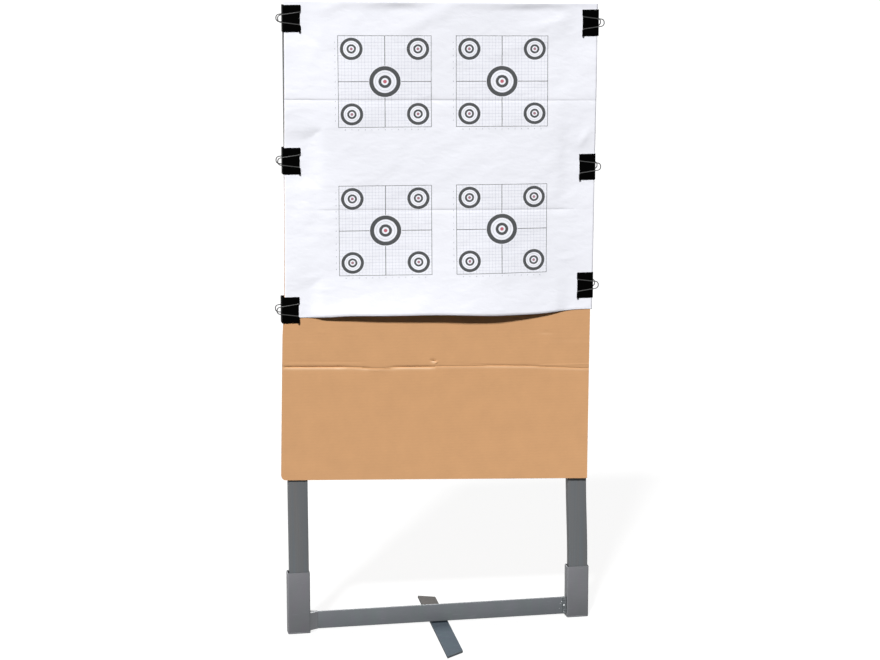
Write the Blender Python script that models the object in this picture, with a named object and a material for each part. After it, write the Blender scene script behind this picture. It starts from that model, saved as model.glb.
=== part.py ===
"""Target stand: a welded steel base, two laths in its sockets, a cardboard backer and a paper target.

Six binder clips hold the target and the backer to the laths. Metres, +Z up, and the target faces -Y.
The origin lies on the ground, under the crossing of the crossbar and the foot bar.
"""

import math

import bmesh
import bpy
from mathutils import Vector

# Fit between two pieces that touch
SEAT_GAP = 0.0003

# Uprights: two 1x2 laths
LATH_WIDTH = 0.0381
LATH_THICKNESS = 0.01905
LATH_LENGTH = 1.2192
LATH_EDGE = 0.001

# Welded base
STAND_WIDTH = 0.6096
SOCKET_CLEARANCE = 0.001075
SOCKET_WALL = 0.0021
SOCKET_CORNER = 0.003
SOCKET_HEIGHT_LEFT = 0.124
SOCKET_HEIGHT_RIGHT = 0.1055
FLOOR_THICKNESS = 0.003
BAR_WIDTH = 0.035
BAR_THICKNESS = 0.005
BAR_EDGE = 0.0005
FOOT_AHEAD = 0.2147
FOOT_BEHIND = 0.1728
FOOT_FRONT_MITRE = 0.030
FOOT_BACK_MITRE = 0.013
FOOT_TURN = math.radians(-1.9)
FLOOR_EDGE = 0.0008
WELD_ON_BAR = 0.0080
WELD_ON_SOCKET = 0.0048
WELD_ON_FOOT = 0.0055
WELD_RIPPLE = 0.0012
WELD_PITCH = 0.0058
WELD_SWING = 2.4
WELD_STEPS = 4
WELD_END = 0.001

# Backer board, hung a little askew, its foot and its crease slanting more than its top
BOARD_THICKNESS = 0.003
BOARD_HEIGHT = 0.9335
BOARD_RISE = 0.012
BOARD_SHIFT = -0.0014
BOARD_TURN = math.radians(0.95)
BOARD_SLANT = math.radians(1.35)
BOARD_CORNER = 0.002
BOARD_WORN_CORNER = 0.009
CREASE_HEIGHT = 0.227
CREASE_WIDTH = 0.003
CREASE_DEPTH = 0.001

# Target sheet, folded over the board's top edge
SHEET_WIDTH = 0.6096
SHEET_DROP = 0.602
SHEET_THICKNESS = 0.0002
SHEET_HEM = 0.024
SHEET_SHIFT = -0.0012
SHEET_SKEW = math.radians(0.45)
SHEET_FOOT_SLANT = math.radians(-0.75)
FOLD_DROP_UPPER = 0.186
FOLD_DROP_LOWER = 0.397
SHEET_BOW = 0.003
SHEET_CURL = 0.020
SHEET_CURL_SHIFT = 0.108
SHEET_SAG = 0.005
SHEET_COLUMNS = 24
SHEET_PANEL_ROWS = 6
SHEET_FOOT_ROWS = 8

# Binder clips
CLIP_WIDTH = 0.0508
CLIP_DEPTH = 0.0336
CLIP_STEEL = 0.0006
CLIP_CORNER = 0.0018
CLIP_NOTCH = 0.027
CLIP_NOTCH_BACK = 0.002
CLIP_EDGE_GAP = 0.0006
CURL_SWEEP = math.radians(300)
CURL_STEPS = 10
WIRE_DIAMETER = 0.002
WIRE_CLEARANCE = 0.0003
HANDLE_REACH = 0.0425
HANDLE_MOUTH = 0.0236
HANDLE_TIP = 0.0124
HANDLE_TIP_RADIUS = 0.0062
HANDLE_BEND = 0.0016
HANDLE_HOOK = 0.0095

# How far each clip's middle lies below the board's top edge
CLIP_DROP_LEFT_TOP = 0.027
CLIP_DROP_LEFT_MIDDLE = 0.297
CLIP_DROP_LEFT_FOOT = 0.585
CLIP_DROP_RIGHT_TOP = 0.041
CLIP_DROP_RIGHT_MIDDLE = 0.3205
CLIP_DROP_RIGHT_FOOT = 0.5545

# Places that follow from the sizes above
SOCKET_WIDTH = LATH_WIDTH + 2 * (SOCKET_CLEARANCE + SOCKET_WALL)
SOCKET_DEPTH = LATH_THICKNESS + 2 * (SOCKET_CLEARANCE + SOCKET_WALL)
SOCKET_X = (STAND_WIDTH - SOCKET_WIDTH) / 2
SOCKET_INNER_FACE = SOCKET_X - SOCKET_WIDTH / 2
LATH_X = SOCKET_X - SOCKET_CLEARANCE + SEAT_GAP
LATH_FOOT = FLOOR_THICKNESS + SEAT_GAP
BAR_FOOT = BAR_THICKNESS + SEAT_GAP
BOARD_WIDTH = STAND_WIDTH
BOARD_TOP = LATH_FOOT + LATH_LENGTH + BOARD_RISE
BOARD_MIDDLE = BOARD_TOP - BOARD_HEIGHT / 2
BOARD_BACK = -LATH_THICKNESS / 2 - 2 * SEAT_GAP - SHEET_THICKNESS
BOARD_FRONT = BOARD_BACK - BOARD_THICKNESS
SHEET_FRONT = BOARD_FRONT - SEAT_GAP - SHEET_THICKNESS
CLIP_FRONT = SHEET_FRONT - SEAT_GAP
CLIP_REAR = LATH_THICKNESS / 2 + SEAT_GAP
CLIP_MIDDLE = (CLIP_FRONT + CLIP_REAR) / 2
CLIP_OPENING = CLIP_REAR - CLIP_FRONT
CURL_INSIDE = WIRE_DIAMETER / 2 + WIRE_CLEARANCE
CURL_MIDLINE = CURL_INSIDE + CLIP_STEEL / 2
CURL_X = CLIP_DEPTH - CURL_INSIDE - CLIP_STEEL
CURL_Y = (CLIP_OPENING + CLIP_STEEL) / 2 + CURL_MIDLINE

# Colours as Principled base colour, roughness and metallic
FINISHES = {
    "steel_paint": ((0.165, 0.171, 0.180), 0.55, 0.0),
    "lath_paint": ((0.140, 0.148, 0.155), 0.70, 0.0),
    "cardboard": ((0.640, 0.370, 0.180), 0.90, 0.0),
    "paper": ((0.900, 0.920, 0.960), 0.80, 0.0),
    "clip_black": ((0.010, 0.010, 0.012), 0.35, 0.0),
    "wire": ((0.600, 0.600, 0.610), 0.30, 1.0),
    "weld": ((0.180, 0.185, 0.190), 0.45, 0.0),
}


def clear_objects():
    """Remove whatever the file holds."""
    for existing in list(bpy.data.objects):
        bpy.data.objects.remove(existing, do_unlink=True)


def finish(name):
    """Return the named material, made once."""
    material = bpy.data.materials.get(name)
    if material is None:
        colour, roughness, metallic = FINISHES[name]
        material = bpy.data.materials.new(name)
        material.use_nodes = True
        shader = material.node_tree.nodes["Principled BSDF"]
        shader.inputs["Base Color"].default_value = (*colour, 1.0)
        shader.inputs["Roughness"].default_value = roughness
        shader.inputs["Metallic"].default_value = metallic
        material.diffuse_color = (*colour, 1.0)
    return material


def place(name, data, material, location=(0, 0, 0), parent=None):
    """Link a new object that shows the given mesh or curve."""
    made = bpy.data.objects.new(name, data)
    made.location = location
    made.parent = parent
    if not data.materials:
        data.materials.append(finish(material))
    bpy.context.scene.collection.objects.link(made)
    return made


def mesh_from(name, body, smooth_angle=math.radians(30)):
    """Turn a bmesh into a mesh with outward faces and soft round sides."""
    bmesh.ops.recalc_face_normals(body, faces=body.faces)
    mesh = bpy.data.meshes.new(name)
    body.to_mesh(mesh)
    body.free()
    mesh.shade_smooth()
    mesh.set_sharp_from_angle(angle=smooth_angle)
    return mesh


def add_bevel(target, width, segments=1):
    """Break the edges of a plain piece."""
    bevel = target.modifiers.new("edges", "BEVEL")
    bevel.width = width
    bevel.segments = segments
    bevel.limit_method = "ANGLE"


def fillet(before, corner, after, radius, steps):
    """Return the points that round one corner of a 2-D path."""
    if radius == 0:
        return [corner]
    to_before = (before - corner).normalized()
    to_after = (after - corner).normalized()
    half_angle = to_before.angle(to_after) / 2
    start = corner + to_before * (radius / math.tan(half_angle))
    centre = corner + (to_before + to_after).normalized() * (radius / math.sin(half_angle))
    turn = math.pi - 2 * half_angle
    if to_before.cross(to_after) > 0:
        turn = -turn
    arm = start - centre
    points = []
    for step in range(steps + 1):
        angle = turn * step / steps
        turned = Vector((arm.x * math.cos(angle) - arm.y * math.sin(angle),
                         arm.x * math.sin(angle) + arm.y * math.cos(angle)))
        points.append(centre + turned)
    return points


def rounded_outline(corners, radii, steps=4):
    """Round the corners of a closed outline."""
    points = []
    for index, corner in enumerate(corners):
        before = Vector(corners[index - 1])
        after = Vector(corners[(index + 1) % len(corners)])
        points += fillet(before, Vector(corner), after, radii[index], steps)
    return points


def rounded_path(corners, radii, steps=4):
    """Round the inner corners of an open path, whose first and last points stay."""
    points = [Vector(corners[0])]
    for before, corner, after, radius in zip(corners, corners[1:], corners[2:], radii):
        points += fillet(Vector(before), Vector(corner), Vector(after), radius, steps)
    points.append(Vector(corners[-1]))
    return points


def rectangle(width, depth):
    """Return the corners of a centred rectangle."""
    return [(-width / 2, -depth / 2), (width / 2, -depth / 2), (width / 2, depth / 2), (-width / 2, depth / 2)]


def extruded(name, outline, height):
    """Extrude a 2-D outline from z = 0 up to height."""
    body = bmesh.new()
    base = body.faces.new([body.verts.new((point[0], point[1], 0)) for point in outline])
    raised = bmesh.ops.extrude_face_region(body, geom=[base])["geom"]
    lift = [item for item in raised if isinstance(item, bmesh.types.BMVert)]
    bmesh.ops.translate(body, verts=lift, vec=(0, 0, height))
    return mesh_from(name, body)


def lofted(name, rings, endless=False):
    """Join a row of equal rings into one closed body, capped unless its last ring meets its first."""
    body = bmesh.new()
    loops = [[body.verts.new(point) for point in ring] for ring in rings]
    following_loops = loops[1:] + loops[:1] if endless else loops[1:]
    for lower, upper in zip(loops, following_loops):
        for index in range(len(lower)):
            following = (index + 1) % len(lower)
            body.faces.new((lower[index], lower[following], upper[following], upper[index]))
    if not endless:
        body.faces.new(loops[0])
        body.faces.new(loops[-1])
    return mesh_from(name, body)


def walled(name, outer, inner, missing=()):
    """Close two matching grids of points into one thin body, leaving the missing cells open."""
    body = bmesh.new()
    tops = [[body.verts.new(point) for point in row] for row in outer]
    undersides = [[body.verts.new(point) for point in row] for row in inner]
    cells = {(row, column) for row in range(len(outer) - 1) for column in range(len(outer[0]) - 1)}
    cells -= set(missing)
    for row, column in cells:
        corners = ((row, column), (row + 1, column), (row + 1, column + 1), (row, column + 1))
        body.faces.new([tops[r][c] for r, c in corners])
        body.faces.new([undersides[r][c] for r, c in reversed(corners)])
        beside = ((row, column - 1), (row + 1, column), (row, column + 1), (row - 1, column))
        for index, neighbour in enumerate(beside):
            if neighbour not in cells:
                r1, c1 = corners[index]
                r2, c2 = corners[(index + 1) % 4]
                body.faces.new((tops[r1][c1], tops[r2][c2], undersides[r2][c2], undersides[r1][c1]))
    loose = [vertex for vertex in body.verts if not vertex.link_faces]
    bmesh.ops.delete(body, geom=loose, context="VERTS")
    return mesh_from(name, body)


def bar(name, size, material, location, edge):
    """Make a straight bar with broken edges."""
    body = bmesh.new()
    bmesh.ops.create_cube(body, size=1.0)
    bmesh.ops.scale(body, vec=size, verts=body.verts)
    made = place(name, mesh_from(name, body), material, location)
    add_bevel(made, edge)
    return made


def socket(side, sign, height):
    """Make one open-topped tube and the plate that closes its foot."""
    outer = rounded_outline(rectangle(SOCKET_WIDTH, SOCKET_DEPTH), [SOCKET_CORNER] * 4)
    bore = rectangle(SOCKET_WIDTH - 2 * SOCKET_WALL, SOCKET_DEPTH - 2 * SOCKET_WALL)
    inner = rounded_outline(bore, [max(SOCKET_CORNER - SOCKET_WALL, SEAT_GAP)] * 4)
    top = height - LATH_FOOT
    walls = [(outer, 0), (outer, top), (inner, top), (inner, 0)]
    rings = [[(*point, level) for point in outline] for outline, level in walls]
    tube = lofted("socket_" + side, rings, endless=True)
    place("socket_" + side, tube, "steel_paint", (sign * SOCKET_X, 0, LATH_FOOT))
    plate = extruded("socket_floor_" + side, outer, FLOOR_THICKNESS)
    floor = place("socket_floor_" + side, plate, "steel_paint", (sign * SOCKET_X, 0, 0))
    add_bevel(floor, FLOOR_EDGE)


def weld_bead(name, start, end, leg_one, leg_two):
    """Lay a rippled fillet bead from start to end, its legs as long as the two vectors."""
    start, end, leg_one, leg_two = (Vector(item) for item in (start, end, leg_one, leg_two))
    length = (end - start).length
    stations = 2 * round(length / WELD_PITCH) + 1
    rings = []
    for station in range(stations):
        dip = WELD_RIPPLE * (0.5 * (station % 2) + 0.25 + 0.25 * math.sin(WELD_SWING * station))
        leg_dips = (leg_one.normalized() * dip, leg_two.normalized() * dip)
        corner = start.lerp(end, station / (stations - 1))
        ring = [corner]
        for step in range(WELD_STEPS + 1):
            angle = math.pi / 2 * step / WELD_STEPS
            reach_one = (leg_one - leg_dips[0]) * math.cos(angle)
            reach_two = (leg_two - leg_dips[1]) * math.sin(angle)
            ring.append(corner + reach_one + reach_two)
        rings.append(ring)
    place(name, lofted(name, rings), "weld")


def build_base():
    """Make the sockets, the crossbar, the foot bar and their welds."""
    socket("left", -1, SOCKET_HEIGHT_LEFT)
    socket("right", 1, SOCKET_HEIGHT_RIGHT)
    span = 2 * (SOCKET_INNER_FACE - SEAT_GAP)
    bar_middle = (0, 0, BAR_FOOT + BAR_WIDTH / 2)
    bar("crossbar", (span, BAR_THICKNESS, BAR_WIDTH), "steel_paint", bar_middle, BAR_EDGE)
    half = BAR_WIDTH / 2
    outline = [(-half, -FOOT_AHEAD), (half, FOOT_FRONT_MITRE - FOOT_AHEAD),
               (half, FOOT_BEHIND - FOOT_BACK_MITRE), (-half, FOOT_BEHIND)]
    foot = place("foot_bar", extruded("foot_bar", outline, BAR_THICKNESS), "steel_paint")
    foot.rotation_euler.z = FOOT_TURN
    add_bevel(foot, BAR_EDGE)
    low = BAR_FOOT + WELD_END
    high = BAR_FOOT + BAR_WIDTH - WELD_END
    corner_x = SOCKET_INNER_FACE - SEAT_GAP
    corner_y = BAR_THICKNESS / 2 + SEAT_GAP
    for side, sign in (("left", -1), ("right", 1)):
        for face, facing in (("front", -1), ("rear", 1)):
            corner = (sign * corner_x, facing * corner_y)
            leg_bar = (-sign * WELD_ON_BAR, 0, 0)
            leg_socket = (0, facing * WELD_ON_SOCKET, 0)
            weld_bead(f"weld_{side}_{face}", (*corner, low), (*corner, high), leg_bar, leg_socket)
    reach = half - WELD_ON_FOOT
    leg_foot = (0, WELD_ON_FOOT, 0)
    leg_up = (0, 0, WELD_ON_FOOT)
    weld_bead("weld_foot_rear", (-reach, corner_y, BAR_FOOT), (reach, corner_y, BAR_FOOT), leg_foot, leg_up)


def build_uprights():
    """Stand a lath on each socket's floor, against the socket's inner wall."""
    for side, sign in (("left", -1), ("right", 1)):
        centre = (sign * LATH_X, 0, LATH_FOOT + LATH_LENGTH / 2)
        bar("upright_" + side, (LATH_WIDTH, LATH_THICKNESS, LATH_LENGTH), "lath_paint", centre, LATH_EDGE)


def board_frame():
    """Return an empty at the board's middle, turned in the board's plane as the board hangs."""
    frame = bpy.data.objects.new("board_frame", None)
    frame.location = (BOARD_SHIFT, 0, BOARD_MIDDLE)
    frame.rotation_euler.y = BOARD_TURN
    bpy.context.scene.collection.objects.link(frame)
    return frame


def build_board(frame):
    """Make the cardboard backer with its slanting foot and scored crease."""
    half = BOARD_WIDTH / 2
    top = BOARD_HEIGHT / 2
    foot_rise = half * math.tan(BOARD_SLANT)
    outline = [(-half, foot_rise - top), (half, -foot_rise - top), (half, top), (-half, top)]
    radii = [BOARD_WORN_CORNER, BOARD_CORNER, BOARD_CORNER, BOARD_CORNER]
    mesh = extruded("backer_board", rounded_outline(outline, radii), BOARD_THICKNESS)
    board = place("backer_board", mesh, "cardboard", (0, BOARD_BACK, 0), frame)
    board.rotation_euler.x = math.pi / 2
    section = [(-CREASE_WIDTH, -CREASE_DEPTH), (0, CREASE_DEPTH), (CREASE_WIDTH, -CREASE_DEPTH)]
    rings = []
    for x in (-BOARD_WIDTH, BOARD_WIDTH):
        rings.append([(x, depth, height) for height, depth in section])
    crease_place = (0, BOARD_FRONT, CREASE_HEIGHT - top)
    cutter = place("crease_cutter", lofted("crease_cutter", rings), "cardboard", crease_place, frame)
    cutter.rotation_euler.y = BOARD_SLANT
    cutter.hide_render = True
    cutter.display_type = "WIRE"
    crease = board.modifiers.new("crease", "BOOLEAN")
    crease.operation = "DIFFERENCE"
    crease.object = cutter


def sheet_edge(sign, drop):
    """Return the x of the sheet's side edge in the board's frame, a given drop below its top."""
    return SHEET_SHIFT + sign * SHEET_WIDTH / 2 + drop * math.tan(SHEET_SKEW)


def foot_freedom(across):
    """Return how freely the sheet's foot hangs at a place across it, from 0 at a clip to 1."""
    free_half = SHEET_WIDTH / 2 - CLIP_DEPTH
    offset = across * SHEET_WIDTH - SHEET_CURL_SHIFT
    if offset < 0:
        return 1 - min(1, -offset / (free_half + SHEET_CURL_SHIFT)) ** 2
    return 1 - min(1, offset / (free_half - SHEET_CURL_SHIFT)) ** 1.2


def sheet_forward(across, drop, foot_drop):
    """Return how far the sheet stands off the board, flat where the clips grip its edges."""
    if drop > FOLD_DROP_LOWER:
        share = (drop - FOLD_DROP_LOWER) / (foot_drop - FOLD_DROP_LOWER)
        return SHEET_CURL * share ** 1.6 * foot_freedom(across)
    offset = min(1, abs(across) * SHEET_WIDTH / (SHEET_WIDTH / 2 - CLIP_DEPTH))
    panel = (0, FOLD_DROP_UPPER) if drop < FOLD_DROP_UPPER else (FOLD_DROP_UPPER, FOLD_DROP_LOWER)
    arch = math.sin(math.pi * (drop - panel[0]) / (panel[1] - panel[0]))
    return SHEET_BOW * arch * math.cos(math.pi / 2 * offset) ** 3


def sheet_rows():
    """Return the front rows as pairs: the fold above each row, and the share of the way to the next."""
    rows = []
    for panel, count in ((0, SHEET_PANEL_ROWS), (1, SHEET_PANEL_ROWS), (2, SHEET_FOOT_ROWS)):
        rows += [(panel, (step + 1) / count) for step in range(count)]
    return rows


def sheet_columns():
    """Return the columns as shares of the width, with one where each row of clips stops pressing."""
    held = CLIP_DEPTH / SHEET_WIDTH
    step = (1 - 2 * held) / (SHEET_COLUMNS - 2)
    return [-0.5] + [held - 0.5 + step * count for count in range(SHEET_COLUMNS - 1)] + [0.5]


def build_sheet(frame):
    """Make the paper sheet: a hem behind the board, over the top, and two fold lines down the front."""
    top = BOARD_HEIGHT / 2 + SEAT_GAP
    hem_inner = BOARD_BACK + SEAT_GAP
    front_inner = BOARD_FRONT - SEAT_GAP
    thin = SHEET_THICKNESS
    outer = [[], [], []]
    inner = [[], [], []]
    outer += [[] for _ in sheet_rows()]
    inner += [[] for _ in sheet_rows()]
    for across in sheet_columns():
        x_top = SHEET_SHIFT + across * SHEET_WIDTH
        inner[0].append((x_top, hem_inner, top - SHEET_HEM))
        outer[0].append((x_top, hem_inner + thin, top - SHEET_HEM))
        inner[1].append((x_top, hem_inner, top))
        outer[1].append((x_top, hem_inner + thin, top + thin))
        inner[2].append((x_top, front_inner, top))
        outer[2].append((x_top, front_inner - thin, top + thin))
        foot_drop = SHEET_DROP + across * SHEET_WIDTH * math.tan(SHEET_FOOT_SLANT)
        foot_drop += SHEET_SAG * foot_freedom(across)
        folds = (0, FOLD_DROP_UPPER, FOLD_DROP_LOWER, foot_drop)
        for row, (panel, share) in enumerate(sheet_rows()):
            drop = folds[panel] + share * (folds[panel + 1] - folds[panel])
            x = x_top + drop * math.tan(SHEET_SKEW)
            y = front_inner - sheet_forward(across, drop, foot_drop)
            inner[3 + row].append((x, y, top - drop))
            outer[3 + row].append((x, y - thin, top - drop))
    place("target_sheet", walled("target_sheet", outer, inner), "paper", (0, 0, 0), frame)


def to_world(x, z):
    """Take a point in the board's plane from the board's frame to the stand's."""
    across = x * math.cos(BOARD_TURN) + z * math.sin(BOARD_TURN)
    up = z * math.cos(BOARD_TURN) - x * math.sin(BOARD_TURN)
    return Vector((BOARD_SHIFT + across, BOARD_MIDDLE + up))


def pack_reach(sign, height):
    """Return how far out lath, board or sheet reach on one side, over the width of a clip."""
    top = BOARD_HEIGHT / 2
    edges = [
        (to_world(sign * BOARD_WIDTH / 2, top), to_world(sign * BOARD_WIDTH / 2, -top)),
        (to_world(sheet_edge(sign, 0), top), to_world(sheet_edge(sign, SHEET_DROP), top - SHEET_DROP)),
    ]
    reach = LATH_X + LATH_WIDTH / 2
    for upper, lower in edges:
        for level in (height - CLIP_WIDTH / 2, height + CLIP_WIDTH / 2):
            share = (upper.y - level) / (upper.y - lower.y)
            reach = max(reach, sign * (upper.x + share * (lower.x - upper.x)))
    return reach


def offset_path(path, distance):
    """Shift a 2-D path sideways, mitred at its corners."""
    shifted = []
    for index, point in enumerate(path):
        ahead = path[min(index + 1, len(path) - 1)]
        behind = path[max(index - 1, 0)]
        before = (point - behind).normalized() if index else (ahead - point).normalized()
        after = (ahead - point).normalized() if index < len(path) - 1 else before
        normal = (before.orthogonal() + after.orthogonal()).normalized()
        shifted.append(point + normal * (distance / normal.dot(before.orthogonal())))
    return shifted


def curl(sign):
    """Return the midline of one rolled mouth edge, from the face's end round to its lip."""
    points = []
    for step in range(1, CURL_STEPS + 1):
        angle = CURL_SWEEP * step / CURL_STEPS
        lift = CURL_MIDLINE * math.cos(angle)
        points.append(Vector((CURL_X + CURL_MIDLINE * math.sin(angle), sign * (CURL_Y - lift))))
    return points


def clip_mesh():
    """Bend the clip's spring steel round the pack: back, two faces and their rolled mouth edges."""
    face = (CLIP_OPENING + CLIP_STEEL) / 2
    back = CLIP_STEEL / 2
    notch_x = CURL_X - CLIP_NOTCH_BACK
    bend = CLIP_CORNER - CLIP_STEEL / 2
    corners = [(notch_x, -face), (back, -face), (back, face), (notch_x, face)]
    faces = [Vector((CURL_X, -face))] + rounded_path(corners, [bend, bend]) + [Vector((CURL_X, face))]
    path = list(reversed(curl(-1))) + faces + curl(1)
    levels = (-CLIP_WIDTH / 2, -CLIP_NOTCH / 2, CLIP_NOTCH / 2, CLIP_WIDTH / 2)
    outer = [[(*point, level) for level in levels] for point in offset_path(path, CLIP_STEEL / 2)]
    inner = [[(*point, level) for level in levels] for point in offset_path(path, -CLIP_STEEL / 2)]
    rolled = CURL_STEPS + 1
    segments = len(path) - 1
    notched = [(row, 1) for row in range(segments) if row < rolled or row >= segments - rolled]
    return walled("binder_clip", outer, inner, notched)


def handle_curve():
    """Bend one wire handle: hooks in the rolled edges, legs drawn in to a round tip."""
    half_mouth = HANDLE_MOUTH / 2
    hook_end = CLIP_NOTCH / 2 + HANDLE_HOOK
    tip_x = HANDLE_REACH - WIRE_DIAMETER / 2
    corners = [(0, hook_end), (0, half_mouth), (tip_x, HANDLE_TIP / 2),
               (tip_x, -HANDLE_TIP / 2), (0, -half_mouth), (0, -hook_end)]
    radii = [HANDLE_BEND, HANDLE_TIP_RADIUS, HANDLE_TIP_RADIUS, HANDLE_BEND]
    path = rounded_path(corners, radii)
    wire = bpy.data.curves.new("clip_handle", "CURVE")
    wire.dimensions = "3D"
    wire.bevel_depth = WIRE_DIAMETER / 2
    wire.bevel_resolution = 2
    wire.use_fill_caps = True
    spline = wire.splines.new("POLY")
    spline.points.add(len(path) - 1)
    for target, point in zip(spline.points, path):
        target.co = (point.x, 0, point.y, 1)
    return wire


def build_clips():
    """Push six clips over the edges of the pack, their handles folded back over the faces."""
    body = clip_mesh()
    wire = handle_curve()
    rows = {
        "left_top": (-1, CLIP_DROP_LEFT_TOP),
        "left_middle": (-1, CLIP_DROP_LEFT_MIDDLE),
        "left_foot": (-1, CLIP_DROP_LEFT_FOOT),
        "right_top": (1, CLIP_DROP_RIGHT_TOP),
        "right_middle": (1, CLIP_DROP_RIGHT_MIDDLE),
        "right_foot": (1, CLIP_DROP_RIGHT_FOOT),
    }
    for where, (sign, drop) in rows.items():
        height = BOARD_TOP - drop
        back = pack_reach(sign, height) + CLIP_EDGE_GAP + CLIP_STEEL
        clip = place("clip_" + where, body, "clip_black", (sign * back, CLIP_MIDDLE, height))
        clip.rotation_euler.z = math.pi if sign > 0 else 0
        for face, facing in (("front", -1), ("rear", 1)):
            local_y = -facing * sign * CURL_Y
            handle = place(f"handle_{where}_{face}", wire, "wire", (CURL_X, local_y, 0), clip)
            handle.rotation_euler.z = math.pi


def main():
    """Build the stand."""
    clear_objects()
    build_base()
    build_uprights()
    frame = board_frame()
    build_board(frame)
    build_sheet(frame)
    build_clips()


if __name__ == "__main__":
    main()
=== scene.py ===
"""Looks of a target stand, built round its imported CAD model.

The stand is a welded steel base with painted laths in its sockets. Binder clips hold a corrugated
backer and a printed paper target across the laths. Metres, +Z up, and the target faces -Y.
"""

from __future__ import annotations

import logging
import math
from collections.abc import Callable, Iterable, Iterator, Sequence
from contextlib import contextmanager
from dataclasses import dataclass
from enum import Enum

import bmesh
import bpy
import numpy as np
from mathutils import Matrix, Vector, noise

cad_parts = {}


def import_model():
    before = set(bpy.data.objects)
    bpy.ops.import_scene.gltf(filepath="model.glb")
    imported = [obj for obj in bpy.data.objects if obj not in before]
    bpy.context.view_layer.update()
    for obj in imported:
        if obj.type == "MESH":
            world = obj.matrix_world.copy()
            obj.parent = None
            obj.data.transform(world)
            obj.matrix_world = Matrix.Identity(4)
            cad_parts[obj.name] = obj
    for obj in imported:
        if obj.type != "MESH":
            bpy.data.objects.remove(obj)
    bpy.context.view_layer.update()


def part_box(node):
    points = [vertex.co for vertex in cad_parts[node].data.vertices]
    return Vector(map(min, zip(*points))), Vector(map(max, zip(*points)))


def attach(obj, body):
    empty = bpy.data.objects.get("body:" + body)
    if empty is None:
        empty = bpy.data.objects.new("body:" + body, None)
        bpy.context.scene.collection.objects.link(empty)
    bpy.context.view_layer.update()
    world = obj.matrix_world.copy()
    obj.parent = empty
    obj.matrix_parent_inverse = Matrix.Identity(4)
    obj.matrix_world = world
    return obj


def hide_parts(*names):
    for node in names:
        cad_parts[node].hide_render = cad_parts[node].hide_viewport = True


log = logging.getLogger("target_stand")

Array = np.ndarray
Object = bpy.types.Object
Tree = bpy.types.NodeTree
Node = bpy.types.Node
Socket = bpy.types.NodeSocket
Pair = tuple[float, float]
Triple = tuple[float, float, float]
Row = tuple[float, ...]
Colour = tuple[float, float, float, float]

MM = 0.001
WHITE = (1.0, 1.0, 1.0, 1.0)
BLACK = (0.0, 0.0, 0.0, 1.0)
# A wave texture at a scale of 1 repeats after this length.
WAVE_PERIOD = 2 * math.pi / 20
# A unit direction runs along an axis where its part there is larger than this.
ALIGNED = 0.9
# Places are rounded to this many digits of a metre before doubles are dropped.
DIGITS = 6
# The laths' and the welds' noise draws from this seed, so that each run makes the same shapes.
SEED = 1
# The flat sheets' map, and the two point attributes that the finishes read.
FLAT = "flat"
# The liner's pale score lips, a rub and a painted highlight.
SCUFF_HIGHLIGHT = "scuff"
# The tubes' near-black bores, bare steel and painted shade.
BORE = "bore"


class Primitive(Enum):
    """The mesh primitives that the pieces start from, by their operator."""

    CUBE = "primitive_cube_add"
    SPHERE = "primitive_uv_sphere_add"
    PLANE = "primitive_plane_add"


class Domain(Enum):
    """What a selection in edit mode is made of."""

    VERTEX = "VERT"
    EDGE = "EDGE"
    FACE = "FACE"


class Way(Enum):
    """A way along an axis, by its sign."""

    @property
    def word(self) -> str:
        """The way's name as the nodes spell it."""
        return self.name.lower()


class Side(Way):
    """A side of the stand, by the sign of its x."""

    LEFT = -1
    RIGHT = 1


class Face(Way):
    """The front or the rear of a part, by the sign of its y."""

    FRONT = -1
    REAR = 1


def linear(code: str) -> Colour:
    """Turn an sRGB hex colour into linear RGBA.

    Args:
        code: the colour as "#RRGGBB".

    Returns:
        Its red, green, blue and alpha as a shader takes them.
    """
    channels = [int(code[start:start + 2], 16) / 255 for start in (1, 3, 5)]
    decoded = [c / 12.92 if c <= 0.04045 else ((c + 0.055) / 1.055) ** 2.4 for c in channels]
    return (*decoded, 1.0)


def shades(code: str, tones: Pair) -> dict[int, Colour]:
    """Return two shades of a colour, by the indices of a colour Mix node's inputs for them."""
    red, green, blue, alpha = linear(code)
    return {index: (red * tone, green * tone, blue * tone, alpha) for index, tone in zip((6, 7), tones)}


def feed(node: Node, inputs: dict[int | str, object]) -> None:
    """Fill some of a node's inputs.

    Args:
        node: the node.
        inputs: what goes into each input, by its index or name: a value, a socket to link, or a
            node, of which the first output in use is linked.
    """
    for key, value in inputs.items():
        if isinstance(value, Node):
            value = next(socket for socket in value.outputs if socket.enabled)
        if isinstance(value, Socket):
            node.id_data.links.new(value, node.inputs[key])
        else:
            node.inputs[key].default_value = value


def add_node(tree: Tree, kind: str, inputs: dict[int | str, object] | None = None,
             stops: Iterable[tuple[float, Colour]] = (), **settings: object) -> Node:
    """Add one shader node with its settings, values and links.

    Args:
        tree: the node tree.
        kind: the node's type without its "ShaderNode", such as "Math".
        inputs: what goes into its inputs, as feed takes it.
        stops: the stops of a colour ramp, as places and colours.
        settings: the node's own properties.

    Returns:
        The new node.
    """
    node = tree.nodes.new("ShaderNode" + kind)
    for name, value in settings.items():
        setattr(node, name, value)
    feed(node, inputs or {})
    for index, (place, colour) in enumerate(stops):
        elements = node.color_ramp.elements
        element = elements[index] if index < len(elements) else elements.new(1.0)
        element.position = place
        element.color = colour
    return node


def grain(tree: Tree, place: Node | Socket, sizes: Triple, turn: Triple = (0.0, 0.0, 0.0),
          **values: float) -> Node:
    """Add a noise whose spots have a real size along each axis.

    Args:
        tree: the material's nodes.
        place: where on the piece, in metres.
        sizes: how long the spots are along each axis.
        turn: how far the spots are turned about each axis.
        values: the noise's own values, such as its Detail.

    Returns:
        The noise.
    """
    scale = tuple(1 / size for size in sizes)
    spread = add_node(tree, "Mapping", {"Vector": place, "Scale": scale, "Rotation": turn})
    return add_node(tree, "TexNoise", {"Vector": spread, "Scale": 1.0, **values})


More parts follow.
